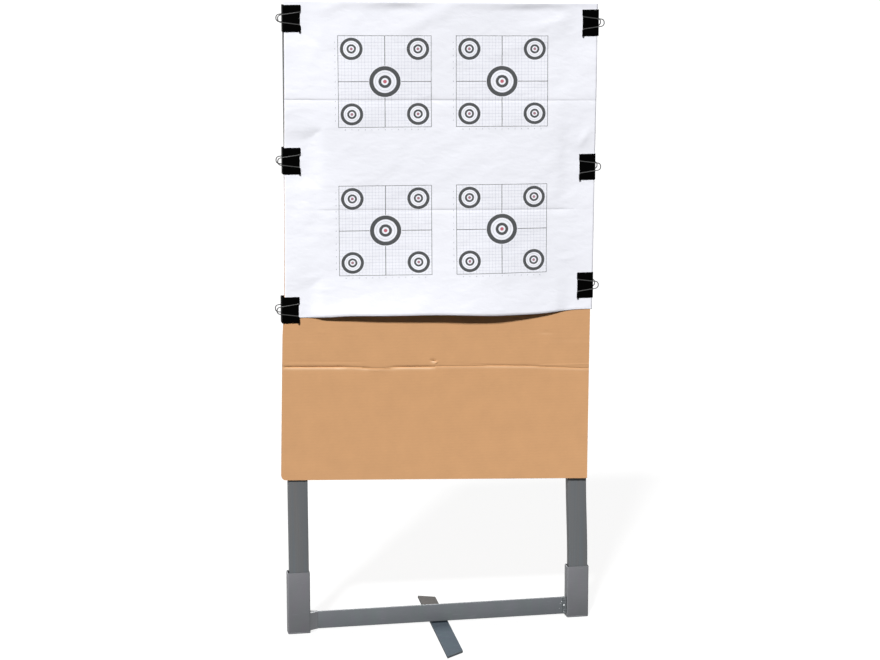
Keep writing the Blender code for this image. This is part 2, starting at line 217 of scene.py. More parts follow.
def shown_rays(tree: Tree) -> Node:
    """Pick out the rays that show a surface to the camera: straight, mirrored or through glass.

    Args:
        tree: the node tree.

    Returns:
        1 for these rays, and 0 for the light that the surface throws on others.
    """
    rays = add_node(tree, "LightPath").outputs
    direct = add_node(
        tree, "Math", {0: rays["Is Camera Ray"], 1: rays["Is Glossy Ray"]}, operation="MAXIMUM")
    return add_node(tree, "Math", {0: direct, 1: rays["Is Transmission Ray"]}, operation="MAXIMUM")


@dataclass(frozen=True)
class Drift:
    """How a coat's hue drifts between two casts, as weather and dust leave it."""

    patch: Triple
    casts: tuple[Triple, Triple]

    def tinge(self, tree: Tree, colour: Node, place: Socket) -> Node:
        """Give a coat its drifting cast.

        Args:
            tree: the material's nodes.
            colour: the coat's colour.
            place: where on the piece.

        Returns:
            The colour with its cast.
        """
        drift = grain(tree, place, self.patch, Detail=2.0)
        cast = add_node(tree, "Mix", {"Factor": drift, 6: (*self.casts[0], 1.0),
                                      7: (*self.casts[1], 1.0)}, data_type="RGBA")
        return add_node(tree, "VectorMath", {0: colour, 1: cast}, operation="MULTIPLY")


@dataclass(frozen=True)
class Finish:
    """What every finish has: its name, its colour and how it shines."""

    name: str
    colour: str
    roughness: float
    metallic: float = 0.0
    ior: float = 1.5
    specular: float = 0.5

    def build(self) -> bpy.types.Material:
        """Make the material.

        Returns:
            A material with one plain shader, worked up as the finish has it.
        """
        material = bpy.data.materials.new(self.name)
        material.use_nodes = True
        material.diffuse_color = linear(self.colour)
        shader = material.node_tree.nodes["Principled BSDF"]
        feed(shader, {"Base Color": linear(self.colour), "Roughness": self.roughness,
                      "Metallic": self.metallic, "IOR": self.ior, "Specular IOR Level": self.specular})
        self.work_up(material.node_tree, shader)
        return material

    def work_up(self, tree: Tree, shader: Node) -> None:
        """Add the finish's own nodes in front of its Principled shader; a plain finish has none."""


@dataclass(frozen=True)
class SteelPaint(Finish):
    """Thin paint sprayed on mild steel.

    The eye sees a satin, faintly cloudy grey with orange peel and pale rub marks. Its rounded edges are
    paler, as wear and as a painted highlight. Inside a tube it is nearly black, as bare steel and as
    painted shade.
    """

    rub_and_highlight_colour: str = "#8E9296"
    bare_and_shade_colour: str = "#16151A"
    cloud: float = 45 * MM
    cloud_tones: Pair = (0.88, 1.12)
    drift: Drift = Drift((14 * MM, 14 * MM, 70 * MM), ((1.08, 0.95, 1.05), (0.92, 1.04, 0.96)))
    peel: float = 1.4 * MM
    peel_depth: float = 0.12 * MM
    sheen: float = 0.08
    rub_width: float = 0.9 * MM
    rub_length: float = 30 * MM
    rub_turn: Triple = (0.0, math.radians(8), math.radians(4))
    rub_range: Pair = (0.66, 0.76)
    rub_amount: float = 0.35
    edge_range: Pair = (0.95, 0.75)
    edge_wear_and_highlight: float = 0.4

    def lit_and_worn_edges(self, tree: Tree) -> Node:
        """Find the rounded edges, where no face looks straight along an axis, which are paled as wear and
        as a painted highlight.

        Args:
            tree: the material's nodes.

        Returns:
            How far the coat is paled there.
        """
        normal = add_node(tree, "TexCoord").outputs["Normal"]
        size = add_node(tree, "VectorMath", {0: normal}, operation="ABSOLUTE")
        parts = add_node(tree, "SeparateXYZ", {0: size}).outputs
        flat = add_node(tree, "Math", {0: parts["X"], 1: parts["Y"]}, operation="MAXIMUM")
        most = add_node(tree, "Math", {0: flat, 1: parts["Z"]}, operation="MAXIMUM")
        return add_node(tree, "MapRange", {"Value": most, "From Min": self.edge_range[0],
                                           "From Max": self.edge_range[1], "To Max": self.edge_wear_and_highlight})

    def coat(self, tree: Tree, place: Socket) -> Node:
        """Colour the clean paint, cloudy where it is thin or thick.

        Args:
            tree: the material's nodes.
            place: where on the piece.

        Returns:
            The colour.
        """
        clouds = add_node(tree, "TexNoise", {"Vector": place, "Scale": 1 / self.cloud, "Detail": 4.0})
        patches = add_node(
            tree, "Mix", {"Factor": clouds, **shades(self.colour, self.cloud_tones)}, data_type="RGBA")
        return self.drift.tinge(tree, patches, place)

    def work_up(self, tree: Tree, shader: Node) -> None:
        """Lay the coat, rub it, pale its edges as wear and painted highlight, darken the bores as bare
        steel and painted shade, and give it orange peel.

        Args:
            tree: the material's nodes.
            shader: its Principled shader.
        """
        place = add_node(tree, "TexCoord").outputs["Object"]
        rubs = grain(
            tree, place, (self.rub_length, self.rub_width, self.rub_width), self.rub_turn, Detail=2.0)
        rubbed = add_node(tree, "ValToRGB", {"Fac": rubs}, zip(self.rub_range, (BLACK, WHITE)))
        strength = add_node(tree, "Math", {0: rubbed, 1: self.rub_amount}, operation="MULTIPLY")
        # Rub marks, and rounded edges paled as wear and as a painted highlight.
        worn = add_node(tree, "Math", {0: strength, 1: self.lit_and_worn_edges(tree)}, operation="MAXIMUM")
        coat = add_node(tree, "Mix", {"Factor": worn, 6: self.coat(tree, place),
                                      7: linear(self.rub_and_highlight_colour)}, data_type="RGBA")
        # The bores are nearly black, as bare steel and as painted shade.
        bore = add_node(tree, "Attribute", attribute_name=BORE).outputs["Fac"]
        steel = add_node(
            tree, "Mix", {"Factor": bore, 6: coat, 7: linear(self.bare_and_shade_colour)}, data_type="RGBA")
        peel = add_node(tree, "TexNoise", {"Vector": place, "Scale": 1 / self.peel, "Detail": 3.0})
        sheen = add_node(tree, "MapRange", {"Value": peel, "To Min": self.roughness - self.sheen,
                                            "To Max": self.roughness + self.sheen})
        relief = add_node(tree, "Bump", {"Height": peel, "Strength": 0.35, "Distance": self.peel_depth})
        feed(shader, {"Base Color": steel, "Roughness": sheen, "Normal": relief})


@dataclass(frozen=True)
class GroundPaint(SteelPaint):
    """The same sprayed paint on the bar that lies on the ground, coloured darker and bluer.

    The darker colour is painted shade, which makes up for the light that its upward face gets, and the blue
    is a painted reflection of sky. The eye sees it dull and bluish in front of the crossbar, browner behind
    it, and black in a line along the crossbar's face, as grime and as painted shade.
    """

    specular: float = 0.03
    rear_colour: str = "#52504E"
    rear_range: Pair = (-4 * MM, 12 * MM)
    grime_and_shade_colour: str = "#1B2126"
    grime_and_shade_range: Pair = (-14 * MM, -9 * MM)

    def coat(self, tree: Tree, place: Socket) -> Node:
        """Colour the paint browner on all that lies behind the crossbar, and near black along its face as
        grime and as painted shade.

        Args:
            tree: the material's nodes.
            place: where on the piece, the crossbar's middle lying at y 0.

        Returns:
            The colour.
        """
        clean = super().coat(tree, place)
        depth = add_node(tree, "SeparateXYZ", {0: place}).outputs["Y"]
        # The part behind the crossbar turns browner.
        dust, near = (add_node(tree, "MapRange", {"Value": depth, "From Min": start, "From Max": end})
                      for start, end in (self.rear_range, self.grime_and_shade_range))
        rear_browned = add_node(
            tree, "Mix", {"Factor": dust, 6: clean, 7: linear(self.rear_colour)}, data_type="RGBA")
        # A near-black line along the crossbar's face: grime and painted shade.
        ahead = add_node(tree, "Math", {0: depth, 1: 0.0}, operation="LESS_THAN")
        line = add_node(tree, "Math", {0: near, 1: ahead}, operation="MULTIPLY")
        return add_node(
            tree, "Mix", {"Factor": line, 6: rear_browned, 7: linear(self.grime_and_shade_colour)}, data_type="RGBA")


@dataclass(frozen=True)
class PaintedPine(Finish):
    """Grey paint brushed on sawn pine.

    The eye sees a dull coat with the grain's long streaks through it, and bare rings on the ends.
    """

    grain_width: float = 2.2 * MM
    grain_length: float = 160 * MM
    grain_tones: Pair = (0.86, 1.14)
    drift: Drift = Drift((6 * MM, 6 * MM, 300 * MM), ((1.14, 0.98, 0.88), (0.86, 1.02, 1.12)))
    fibre: float = 0.5 * MM
    fibre_length: float = 160 / 6 * MM
    fibre_depth: float = 0.15 * MM
    end_colour: str = "#8F7A5E"
    ring: float = 2 * MM
    ring_tones: Pair = (0.75, 1.15)

    def work_up(self, tree: Tree, shader: Node) -> None:
        """Paint the wood, leave its sawn ends bare and raise its fibres.

        Args:
            tree: the material's nodes.
            shader: its Principled shader.
        """
        source = add_node(tree, "TexCoord").outputs
        place = source["Object"]
        streaks = grain(tree, place, (self.grain_width, self.grain_width, self.grain_length),
                        Detail=5.0, Roughness=0.6, Distortion=0.3)
        coat = add_node(
            tree, "Mix", {"Factor": streaks, **shades(self.colour, self.grain_tones)}, data_type="RGBA")
        facing = add_node(tree, "SeparateXYZ", {0: source["Normal"]}).outputs["Z"]
        upward = add_node(tree, "Math", {0: facing}, operation="ABSOLUTE")
        sawn = add_node(tree, "Math", {0: upward, 1: ALIGNED}, operation="GREATER_THAN")
        rings = add_node(tree, "TexWave", {"Vector": place, "Scale": WAVE_PERIOD / self.ring,
                                           "Distortion": 3.0, "Detail": 2.0}, wave_type="RINGS")
        bare = add_node(tree, "Mix", {"Factor": rings.outputs["Fac"],
                                      **shades(self.end_colour, self.ring_tones)}, data_type="RGBA")
        wood = add_node(tree, "Mix", {"Factor": sawn, 6: self.drift.tinge(tree, coat, place), 7: bare},
                        data_type="RGBA")
        fibres = grain(tree, place, (self.fibre, self.fibre, self.fibre_length), Detail=3.0)
        relief = add_node(tree, "Bump", {"Height": fibres, "Strength": 0.5, "Distance": self.fibre_depth})
        feed(shader, {"Base Color": wood, "Normal": relief})


@dataclass(frozen=True)
class KraftLiner(Finish):
    """Brown kraft paper, glued on the flutes of corrugated board.

    The eye sees it matt and fibrous, with the flutes as faint bands, and pale on the lower lip of its
    scores, as a rub and as a painted highlight.
    Real fibres are finer and the mottle is smaller; both are drawn as coarse as they need to show.
    """

    flute_pitch: float = 6.1 * MM
    flute_contrast: float = 0.008
    flute_relief: float = 0.010 * MM
    fibre: float = 1.1 * MM
    fibre_length: float = 8.8 * MM
    fibre_contrast: float = 0.06
    fibre_relief: float = 0.1 * MM
    mottle: float = 38 * MM
    mottle_contrast: float = 0.07
    scuff_colour: str = "#E9C8A4"

    def work_up(self, tree: Tree, shader: Node) -> None:
        """Mottle and band the liner along its own flat map, and pale its score lips as a rub and as a
        painted highlight.

        Args:
            tree: the material's nodes.
            shader: its Principled shader.
        """
        flat = add_node(tree, "UVMap", uv_map=FLAT)
        mottle = add_node(tree, "TexNoise", {"Vector": flat, "Scale": 1 / self.mottle, "Detail": 3.0})
        fibres = grain(tree, flat, (self.fibre_length, self.fibre, 1.0), Detail=4.0)
        wave = add_node(tree, "TexWave", {"Vector": flat, "Scale": WAVE_PERIOD / self.flute_pitch,
                                          "Distortion": 0.6, "Detail": 1.0, "Detail Scale": 0.4},
                        bands_direction="Y")
        bands = wave.outputs["Fac"]
        tone, thread, flute = (
            add_node(tree, "MapRange", {"Value": pattern, "To Min": 1 - contrast, "To Max": 1 + contrast})
            for pattern, contrast in ((mottle, self.mottle_contrast), (fibres, self.fibre_contrast),
                                      (bands, self.flute_contrast)))
        both = add_node(tree, "Math", {0: tone, 1: thread}, operation="MULTIPLY")
        level = add_node(tree, "Math", {0: both, 1: flute}, operation="MULTIPLY")
        scuff = add_node(tree, "Attribute", attribute_name=SCUFF_HIGHLIGHT).outputs["Fac"]
        # Score lips paled as a rub and as a painted highlight.
        rubbed = add_node(tree, "Mix", {"Factor": scuff, 6: linear(self.colour),
                                        7: linear(self.scuff_colour)}, data_type="RGBA")
        kraft = add_node(tree, "VectorMath", {0: rubbed, "Scale": level}, operation="SCALE")
        washboard = add_node(
            tree, "Bump", {"Height": bands, "Strength": 1.0, "Distance": self.flute_relief})
        relief = add_node(tree, "Bump", {"Height": fibres, "Strength": 0.25,
                                         "Distance": self.fibre_relief, "Normal": washboard})
        feed(shader, {"Base Color": kraft, "Normal": relief})


@dataclass(frozen=True)
class Bullseye:
    """One printed bullseye, in a grid's units: where its colours change, and the clear paper's rim."""

    rings: Row
    halo: float
    bull: str


@dataclass(frozen=True)
class PrintedGrid:
    """One printed grid, its sizes in its own units, and how four of them lie on the sheet.

    The press stretched the print a little across, and laid it a touch askew on the sheet.
    """

    unit_across: float = 12.865 * MM
    unit_down: float = 12.404 * MM
    half: float = 7.0
    spacing_across: float = 229.0 * MM
    spacing_down: float = 286.2 * MM
    middle_across: float = 3.45 * MM
    middle_down: float = 293.0 * MM
    lean: float = 0.0080
    tilt: float = -0.0042
    frame_width: float = 0.075
    cross_width: float = 0.10
    line_width: float = 0.024
    half_line_width: float = 0.014
    corner_place: float = 5.0
    small: Bullseye = Bullseye((0.21, 0.41, 0.70, 0.96, 1.01, 1.23, 1.69), 1.76, "#A37785")
    big: Bullseye = Bullseye((0.265, 0.54, 0.97, 1.37, 1.43, 1.74, 2.36), 2.45, "#BE6473")

    def askew(self, across: float, up: float) -> Pair:
        """Return the sheet's own place of a spot that the print gives from its middle."""
        return (self.middle_across + across - self.lean * up, -self.middle_down + up - self.tilt * across)


@dataclass(frozen=True)
class TargetPaper(Finish):
    """Uncoated white paper, printed in dark ink with four grids of five bullseyes.

    The eye sees it bright and matt, with fine wrinkles from handling. Its brightness is painted light and
    shade across the sheet: darkest a little right of the middle, brighter towards the sides, most at the
    left.
    Real fibres are too fine to show, so the mottle stands for them.
    """

    grid: PrintedGrid = PrintedGrid()
    ink: str = "#47494B"
    line_ink: str = "#A0A4B6"
    thin_ring: str = "#C6C9CF"
    mottle: float = 60 * MM
    mottle_tones: Pair = (0.985, 1.0)
    half_width: float = 305 * MM
    tone_middle: float = 0.981
    tone_lean: float = -0.0185
    tone_bend: float = 0.0345
    wrinkle: float = 13 * MM
    wrinkle_depth: float = 0.55 * MM
    crush: float = 34 * MM
    crush_depth: float = 0.9 * MM
    wrinkle_stretch: float = 0.6
    wrinkle_turn: float = 0.12

    def work_up(self, tree: Tree, shader: Node) -> None:
        """Print and wrinkle the paper, and paint light and shade across it, on the sheet's own flat map, in
        metres.

        Args:
            tree: the material's nodes.
            shader: its Principled shader.
        """
        flat = add_node(tree, "UVMap", uv_map=FLAT)
        fading = add_node(tree, "TexNoise", {"Vector": flat, "Scale": 1 / self.mottle, "Detail": 2.0})
        printed = add_node(
            tree, "Mix", {"Factor": fading, **shades(self.colour, self.mottle_tones)}, data_type="RGBA")
        for mask, colour in self.layers(tree, self.spot(tree, flat)):
            printed = add_node(tree, "Mix", {"Factor": mask, 6: printed, 7: colour}, data_type="RGBA")
        # Light and shade painted across the sheet.
        shade_painted = add_node(
            tree, "VectorMath", {0: printed, "Scale": self.tone(tree, flat)}, operation="SCALE")
        feed(shader, {"Base Color": shade_painted, "Normal": self.wrinkles(tree, flat)})

    def spot(self, tree: Tree, flat: Node) -> Node:
        """Take a place on the sheet to the nearest grid.

        Args:
            tree: the material's nodes.
            flat: where on the sheet, in metres.

        Returns:
            How far the place lies from the grid's middle each way, in the grid's units.
        """
        grid = self.grid
        centred = add_node(tree, "VectorMath", {0: flat, 1: (grid.middle_across, -grid.middle_down, 0.0)},
                           operation="SUBTRACT")
        across, down = (add_node(tree, "VectorMath", {0: centred, 1: way}, operation="DOT_PRODUCT")
                        for way in ((1.0, grid.lean, 0.0), (grid.tilt, 1.0, 0.0)))
        spot = add_node(tree, "CombineXYZ", {0: across, 1: down})
        for operation, by in (("ABSOLUTE", {}),
                              ("SUBTRACT", {1: (grid.spacing_across / 2, grid.spacing_down / 2, 0.0)}),
                              ("MULTIPLY", {1: (1 / grid.unit_across, 1 / grid.unit_down, 0.0)}),
                              ("ABSOLUTE", {})):
            spot = add_node(tree, "VectorMath", {0: spot, **by}, operation=operation)
        return spot

    def layers(self, tree: Tree, spot: Node) -> list[tuple[Node, Node | Colour]]:
        """Draw a grid and its bullseyes.

        Args:
            tree: the material's nodes.
            spot: how far a place lies from the grid's middle each way, in the grid's units.

        Returns:
            Where each layer of the print lies, and its colour, from the lowest layer up.
        """
        grid = self.grid
        axes = add_node(tree, "SeparateXYZ", {0: spot}).outputs
        both = {0: axes["X"], 1: axes["Y"]}
        reach = add_node(tree, "Math", both, operation="MAXIMUM")
        least = add_node(tree, "Math", both, operation="MINIMUM")
        inside = add_node(tree, "Math", {0: reach, 1: grid.half}, operation="LESS_THAN")
        frame = add_node(
            tree, "Math", {0: reach, 1: grid.half, 2: grid.frame_width / 2}, operation="COMPARE")
        cross = add_node(tree, "Math", {0: least, 1: grid.cross_width / 2}, operation="LESS_THAN")
        rules = {}
        for index, (spacing, width) in enumerate(((1.0, grid.line_width), (0.5, grid.half_line_width))):
            offsets = {axis: add_node(tree, "Math", {0: both[axis], 1: spacing / 2}, operation="PINGPONG")
                       for axis in both}
            nearest = add_node(tree, "Math", offsets, operation="MINIMUM")
            rules[index] = add_node(tree, "Math", {0: nearest, 1: width / 2}, operation="LESS_THAN")
        ruled = add_node(tree, "Math", rules, operation="MAXIMUM")
        fine = add_node(tree, "Math", {0: ruled, 1: inside}, operation="MULTIPLY")
        thick = add_node(tree, "Math", {0: cross, 1: inside}, operation="MULTIPLY")
        heavy = add_node(tree, "Math", {0: thick, 1: frame}, operation="MAXIMUM")
        corner = add_node(tree, "VectorMath", {0: spot, 1: (grid.corner_place, grid.corner_place, 0.0)},
                          operation="SUBTRACT")
        layers = [(fine, linear(self.line_ink)), (heavy, linear(self.ink))]
        for away, bullseye in ((corner, grid.small), (spot, grid.big)):
            distance = add_node(tree, "VectorMath", {0: away}, operation="LENGTH")
            mask = add_node(tree, "Math", {0: distance, 1: bullseye.halo}, operation="LESS_THAN")
            layers.append((mask, self.rings(tree, distance, bullseye)))
        return layers

    def rings(self, tree: Tree, distance: Node, bullseye: Bullseye) -> Node:
        """Colour a bullseye by the distance from its middle.

        Args:
            tree: the material's nodes.
            distance: the distance in grid units.
            bullseye: the bullseye's rings.

        Returns:
            The bullseye's colour, which holds as far as its halo.
        """
        paper, ink = linear(self.colour), linear(self.ink)
        colours = (linear(bullseye.bull), paper, ink, paper, linear(self.thin_ring), paper, ink, paper)
        share = add_node(tree, "Math", {0: distance, 1: bullseye.halo}, operation="DIVIDE")
        stops = [(start / bullseye.halo, colour) for start, colour in zip((0.0, *bullseye.rings), colours)]
        ramp = add_node(tree, "ValToRGB", {"Fac": share}, stops)
        ramp.color_ramp.interpolation = "CONSTANT"
        return ramp

    def tone(self, tree: Tree, flat: Node) -> Node:
        """Paint light and shade across the paper, by a curve of the second degree: darkest a little right
        of the middle, brighter towards the sides and most at the left.

        Args:
            tree: the material's nodes.
            flat: where on the sheet, in metres.

        Returns:
            How bright the painted light and shade make the paper.
        """
        place = add_node(tree, "SeparateXYZ", {0: flat}).outputs["X"]
        share = add_node(tree, "Math", {0: place, 1: self.half_width}, operation="DIVIDE")
        slope = add_node(
            tree, "Math", {0: share, 1: self.tone_bend, 2: self.tone_lean}, operation="MULTIPLY_ADD")
        return add_node(tree, "Math", {0: slope, 1: share, 2: self.tone_middle}, operation="MULTIPLY_ADD")

    def wrinkles(self, tree: Tree, flat: Node) -> Node:
        """Raise the wrinkles that handled paper keeps, wider than they are tall.

        Args:
            tree: the material's nodes.
            flat: where on the sheet, in metres.

        Returns:
            The wrinkled surface's normals.
        """
        below = {}
        for size, depth, detail in ((self.wrinkle, self.wrinkle_depth, 4.0),
                                    (self.crush, self.crush_depth, 2.0)):
            dents = grain(tree, flat, (size / self.wrinkle_stretch, size, 1.0),
                          (0.0, 0.0, self.wrinkle_turn), Detail=detail, Roughness=0.55, Distortion=0.4)
            relief = add_node(tree, "Bump", {"Height": dents, "Strength": 1.0, "Distance": depth, **below})
            below = {"Normal": relief}
        return relief


@dataclass(frozen=True)
class ClipEnamel(Finish):
    """Black enamel stoved on spring steel.

    The eye sees it deep and even, with hardly a shine and faint dimples.
    """

    specular: float = 0.005
    dimple: float = 0.9 * MM
    dimple_depth: float = 0.05 * MM
    sheen: float = 0.06

    def work_up(self, tree: Tree, shader: Node) -> None:
        """Dimple the enamel.

        Args:
            tree: the material's nodes.
            shader: its Principled shader.
        """
        place = add_node(tree, "TexCoord").outputs["Object"]
        dimples = add_node(tree, "TexNoise", {"Vector": place, "Scale": 1 / self.dimple, "Detail": 2.0})
        sheen = add_node(tree, "MapRange", {"Value": dimples, "To Min": self.roughness - self.sheen,
                                            "To Max": self.roughness + self.sheen})
        relief = add_node(tree, "Bump", {"Height": dimples, "Strength": 0.2, "Distance": self.dimple_depth})
        feed(shader, {"Roughness": sheen, "Normal": relief})


@dataclass(frozen=True)
class NickelWire(Finish):
    """Drawn spring wire, coloured dark grey.

    The eye sees a dark metal whose shine breaks in faint lines along the wire.
    """

    draw_line: float = 0.25 * MM
    draw_length: float = 5 * MM
    sheen: Pair = (-0.08, 0.12)

    def work_up(self, tree: Tree, shader: Node) -> None:
        """Draw the lines in the wire's shine.

        Args:
            tree: the material's nodes.
            shader: its Principled shader.
        """
        place = add_node(tree, "TexCoord").outputs["Object"]
        lines = grain(tree, place, (self.draw_length, self.draw_line, self.draw_line), Detail=2.0)
        sheen = add_node(tree, "MapRange", {"Value": lines, "To Min": self.roughness + self.sheen[0],
                                            "To Max": self.roughness + self.sheen[1]})
        feed(shader, {"Roughness": sheen})


@dataclass(frozen=True)
class WeldPaint(Finish):
    """Paint sprayed on a rippled weld bead.

    The eye sees a few small pale spots, scattered by a noise.
    """

    spot: float = 2.6 * MM
    spot_colour: str = "#C9CCCE"
    spot_range: Pair = (0.74, 0.80)
    spot_depth: float = 0.2 * MM

    def work_up(self, tree: Tree, shader: Node) -> None:
        """Spot the paint.

        Args:
            tree: the material's nodes.
            shader: its Principled shader.
        """
        place = add_node(tree, "TexCoord").outputs["Object"]
        spots = add_node(tree, "TexNoise", {"Vector": place, "Scale": 1 / self.spot, "Detail": 2.0})
        # Pale spots, placed by a noise.
        worn = add_node(tree, "ValToRGB", {"Fac": spots}, zip(self.spot_range, (BLACK, WHITE)))
        coat = add_node(tree, "Mix", {"Factor": worn, 6: linear(self.colour),
                                      7: linear(self.spot_colour)}, data_type="RGBA")
        relief = add_node(tree, "Bump", {"Height": spots, "Strength": 0.4, "Distance": self.spot_depth})
        feed(shader, {"Base Color": coat, "Normal": relief})


@dataclass(frozen=True)
class StudioFloor(Finish):
    """Pale studio floor.

    The eye sees mostly light of the floor's own with a soft part of the stand's shadow, and the
    stand gets only a dark floor's light from it.
    """

    glow: float = 0.8
    bounce: str = "#3A3A3A"

    def work_up(self, tree: Tree, shader: Node) -> None:
        """Make the floor pale where it is seen, and dark to the light that it throws back.

        Args:
            tree: the material's nodes.
            shader: its Principled shader.
        """
        light = add_node(tree, "Emission", {"Color": WHITE, "Strength": 1.0})
        lit = add_node(tree, "MixShader", {0: self.glow, 1: shader, 2: light})
        dark = add_node(tree, "BsdfDiffuse", {"Color": linear(self.bounce)})
        both = add_node(tree, "MixShader", {0: shown_rays(tree), 1: dark, 2: lit})
        feed(tree.nodes["Material Output"], {"Surface": both})


@contextmanager
def editing(piece: Object, mode: Domain = Domain.VERTEX) -> Iterator[None]:
    """Put one object alone into edit mode, with all of it selected.

    Args:
        piece: the object to edit.
        mode: what the selection is made of.

    Yields:
        Nothing, while the piece is in edit mode.
    """
    alone(piece)
    bpy.ops.object.mode_set(mode="EDIT")
    bpy.ops.mesh.select_mode(type=mode.value)
    bpy.ops.mesh.select_all(action="SELECT")
    yield
    bpy.ops.object.mode_set(mode="OBJECT")


def alone(piece: Object) -> None:
    """Select one object and nothing else, and make it the active one.

    Args:
        piece: the object.
    """
    bpy.ops.object.select_all(action="DESELECT")
    piece.select_set(True)
    bpy.context.view_layer.objects.active = piece


def pick(piece: Object, domain: Domain, test: Callable[[Vector, Vector], bool]) -> None:
    """Select the vertices, edges or faces in edit mode that pass a test.

    Args:
        piece: the object in edit mode.
        domain: what to select.
        test: takes an element's middle, and its normal or, for an edge, its direction.
    """
    bpy.ops.mesh.select_mode(type=domain.value)
    bpy.ops.mesh.select_all(action="DESELECT")
    mesh = bmesh.from_edit_mesh(piece.data)
    if domain is Domain.FACE:
        for face in mesh.faces:
            face.select_set(test(face.calc_center_median(), face.normal))
    elif domain is Domain.EDGE:
        for edge in mesh.edges:
            start, end = (vertex.co for vertex in edge.verts)
            edge.select_set(test((start + end) / 2, (end - start).normalized()))
    else:
        for vertex in mesh.verts:
            vertex.select_set(test(vertex.co, vertex.normal))
    mesh.select_flush_mode()
    bmesh.update_edit_mesh(piece.data)


def add_primitive(kind: Primitive, name: str, **settings: object) -> Object:
    """Add a mesh primitive by its operator.

    Args:
        kind: which primitive.
        name: the new object's name.
        settings: the operator's own settings.

    Returns:
        The new object, alone selected.
    """
    bpy.ops.object.select_all(action="DESELECT")
    getattr(bpy.ops.mesh, kind.value)(**settings)
    made = bpy.context.active_object
    made.name = name
    made.data.name = name
    return made


def settle(piece: Object) -> None:
    """Put the object's place, turn and scale into its mesh."""
    alone(piece)
    bpy.ops.object.transform_apply(location=True, rotation=True, scale=True)


def block(name: str, middle: Vector, size: Vector) -> Object:
    """Make a square block.

    Args:
        name: the object's name.
        middle: its middle.
        size: its length along each axis.

    Returns:
        The block, its place and size in its mesh.
    """
    made = add_primitive(Primitive.CUBE, name, size=1, location=middle, scale=size)
    settle(made)
    return made


def into_scene(name: str, data: bpy.types.ID) -> Object:
    """Make an object of its data, and link it into the scene.

    Args:
        name: the object's name.
        data: a mesh, a curve, a lamp or a camera.

    Returns:
        The new object.
    """
    made = bpy.data.objects.new(name, data)
    bpy.context.scene.collection.objects.link(made)
    return made


def apply_modifier(piece: Object, kind: str, **settings: object) -> None:
    """Add a modifier to a piece and apply it.

    Args:
        piece: the piece.
        kind: the modifier's type as Blender names it.
        settings: the modifier's own properties.
    """
    alone(piece)
    modifier = piece.modifiers.new(kind.lower(), kind)
    for name, value in settings.items():
        setattr(modifier, name, value)
    bpy.ops.object.modifier_apply(modifier=modifier.name)


def soften(piece: Object, angle: float = math.radians(35)) -> None:
    """Shade the piece smooth, but for the edges that turn by more than the angle."""
    alone(piece)
    bpy.ops.object.shade_smooth_by_angle(angle=angle)


def mesh_piece(name: str, points: Array, faces: Sequence[Sequence[int]]) -> Object:
    """Make an object from points and faces.

    Args:
        name: the object's name.
        points: its corners, one row each.
        faces: the corners of each face, by their row.

    Returns:
        The new object.
    """
    mesh = bpy.data.meshes.new(name)
    mesh.from_pydata([tuple(point) for point in points], [], faces)
    return into_scene(name, mesh)


def grid_faces(rows: int, columns: int) -> list[tuple[int, int, int, int]]:
    """List the faces of a grid of points that is stored row by row.

    Args:
        rows: how many rows of points.
        columns: how many points in a row.

    Returns:
        The four corners of each face.
    """
    faces = []
    for row in range(rows - 1):
        for column in range(columns - 1):
            corner = row * columns + column
            faces.append((corner, corner + columns, corner + columns + 1, corner + 1))
    return faces


def map_flat(piece: Object, across: Array, up: Array) -> None:
    """Map a flat sheet in metres.

    Args:
        piece: the sheet.
        across: how far to the right each vertex lies on the flat sheet.
        up: how far up each vertex lies on it.
    """
    layer = piece.data.uv_layers.new(name=FLAT)
    corners = np.empty(len(piece.data.loops), dtype=np.int32)
    piece.data.loops.foreach_get("vertex_index", corners)
    flat = np.stack([across.ravel(), up.ravel()], axis=1)
    layer.data.foreach_set("uv", flat[corners].astype(np.float32).ravel())


def mark_points(piece: Object, name: str, shares: Sequence[float] | Array) -> None:
    """Store a value for each vertex of a piece, which its finish reads by the attribute's name."""
    marks = piece.data.attributes.new(name, "FLOAT", "POINT")
    marks.data.foreach_set("value", np.asarray(shares, dtype=np.float32).ravel())


def join(pieces: list[Object], name: str) -> Object:
    """Join pieces into one.

    Args:
        pieces: the pieces, the first of which keeps the others.
        name: the joined piece's name.

    Returns:
        The joined piece.
    """
    bpy.ops.object.select_all(action="DESELECT")
    for piece in pieces:
        piece.select_set(True)
    bpy.context.view_layer.objects.active = pieces[0]
    bpy.ops.object.join()
    pieces[0].name = name
    return pieces[0]


def dress(piece: Object, material: bpy.types.Material) -> None:
    """Give the piece one material."""
    piece.data.materials.clear()
    piece.data.materials.append(material)


def mount(piece: Object, material: bpy.types.Material, body: str, slot: str, *nodes: str) -> None:
    """Dress a finished piece and hand it to the frame.

    Args:
        piece: the piece.
        material: what it is dressed in.
        body: the CAD body that it rides on.
        slot: the name of a material slot; not used.
        nodes: the CAD nodes that it stands for.
    """
    dress(piece, material)
    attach(piece, body)
    if nodes:
        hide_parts(*nodes)
    log.info("%s rides on %s, %d faces", piece.name, body, len(piece.data.polygons))


def clip_nodes() -> Iterator[tuple[Side, str]]:
    """Go through the clips.

    Yields:
        Each clip's side and the name of its CAD node.
    """
    for side in Side:
        for where in ("top", "middle", "foot"):
            yield side, f"clip_{side.word}_{where}"


def rolled_bar(name: str, low: Vector, high: Vector, edge: float, segments: int = 3) -> Object:
    """Make a straight bar with rounded edges.

    Args:
        name: the object's name.
        low: its lowest corner.
        high: its highest corner.
        edge: the radius of its edges.
        segments: how many facets round each edge.

    Returns:
        The bar, its place in its mesh.
    """
    bar = block(name, (low + high) / 2, high - low)
    with editing(bar, Domain.EDGE):
        bpy.ops.mesh.bevel(offset=edge, segments=segments, affect="EDGES")
    soften(bar)
    return bar


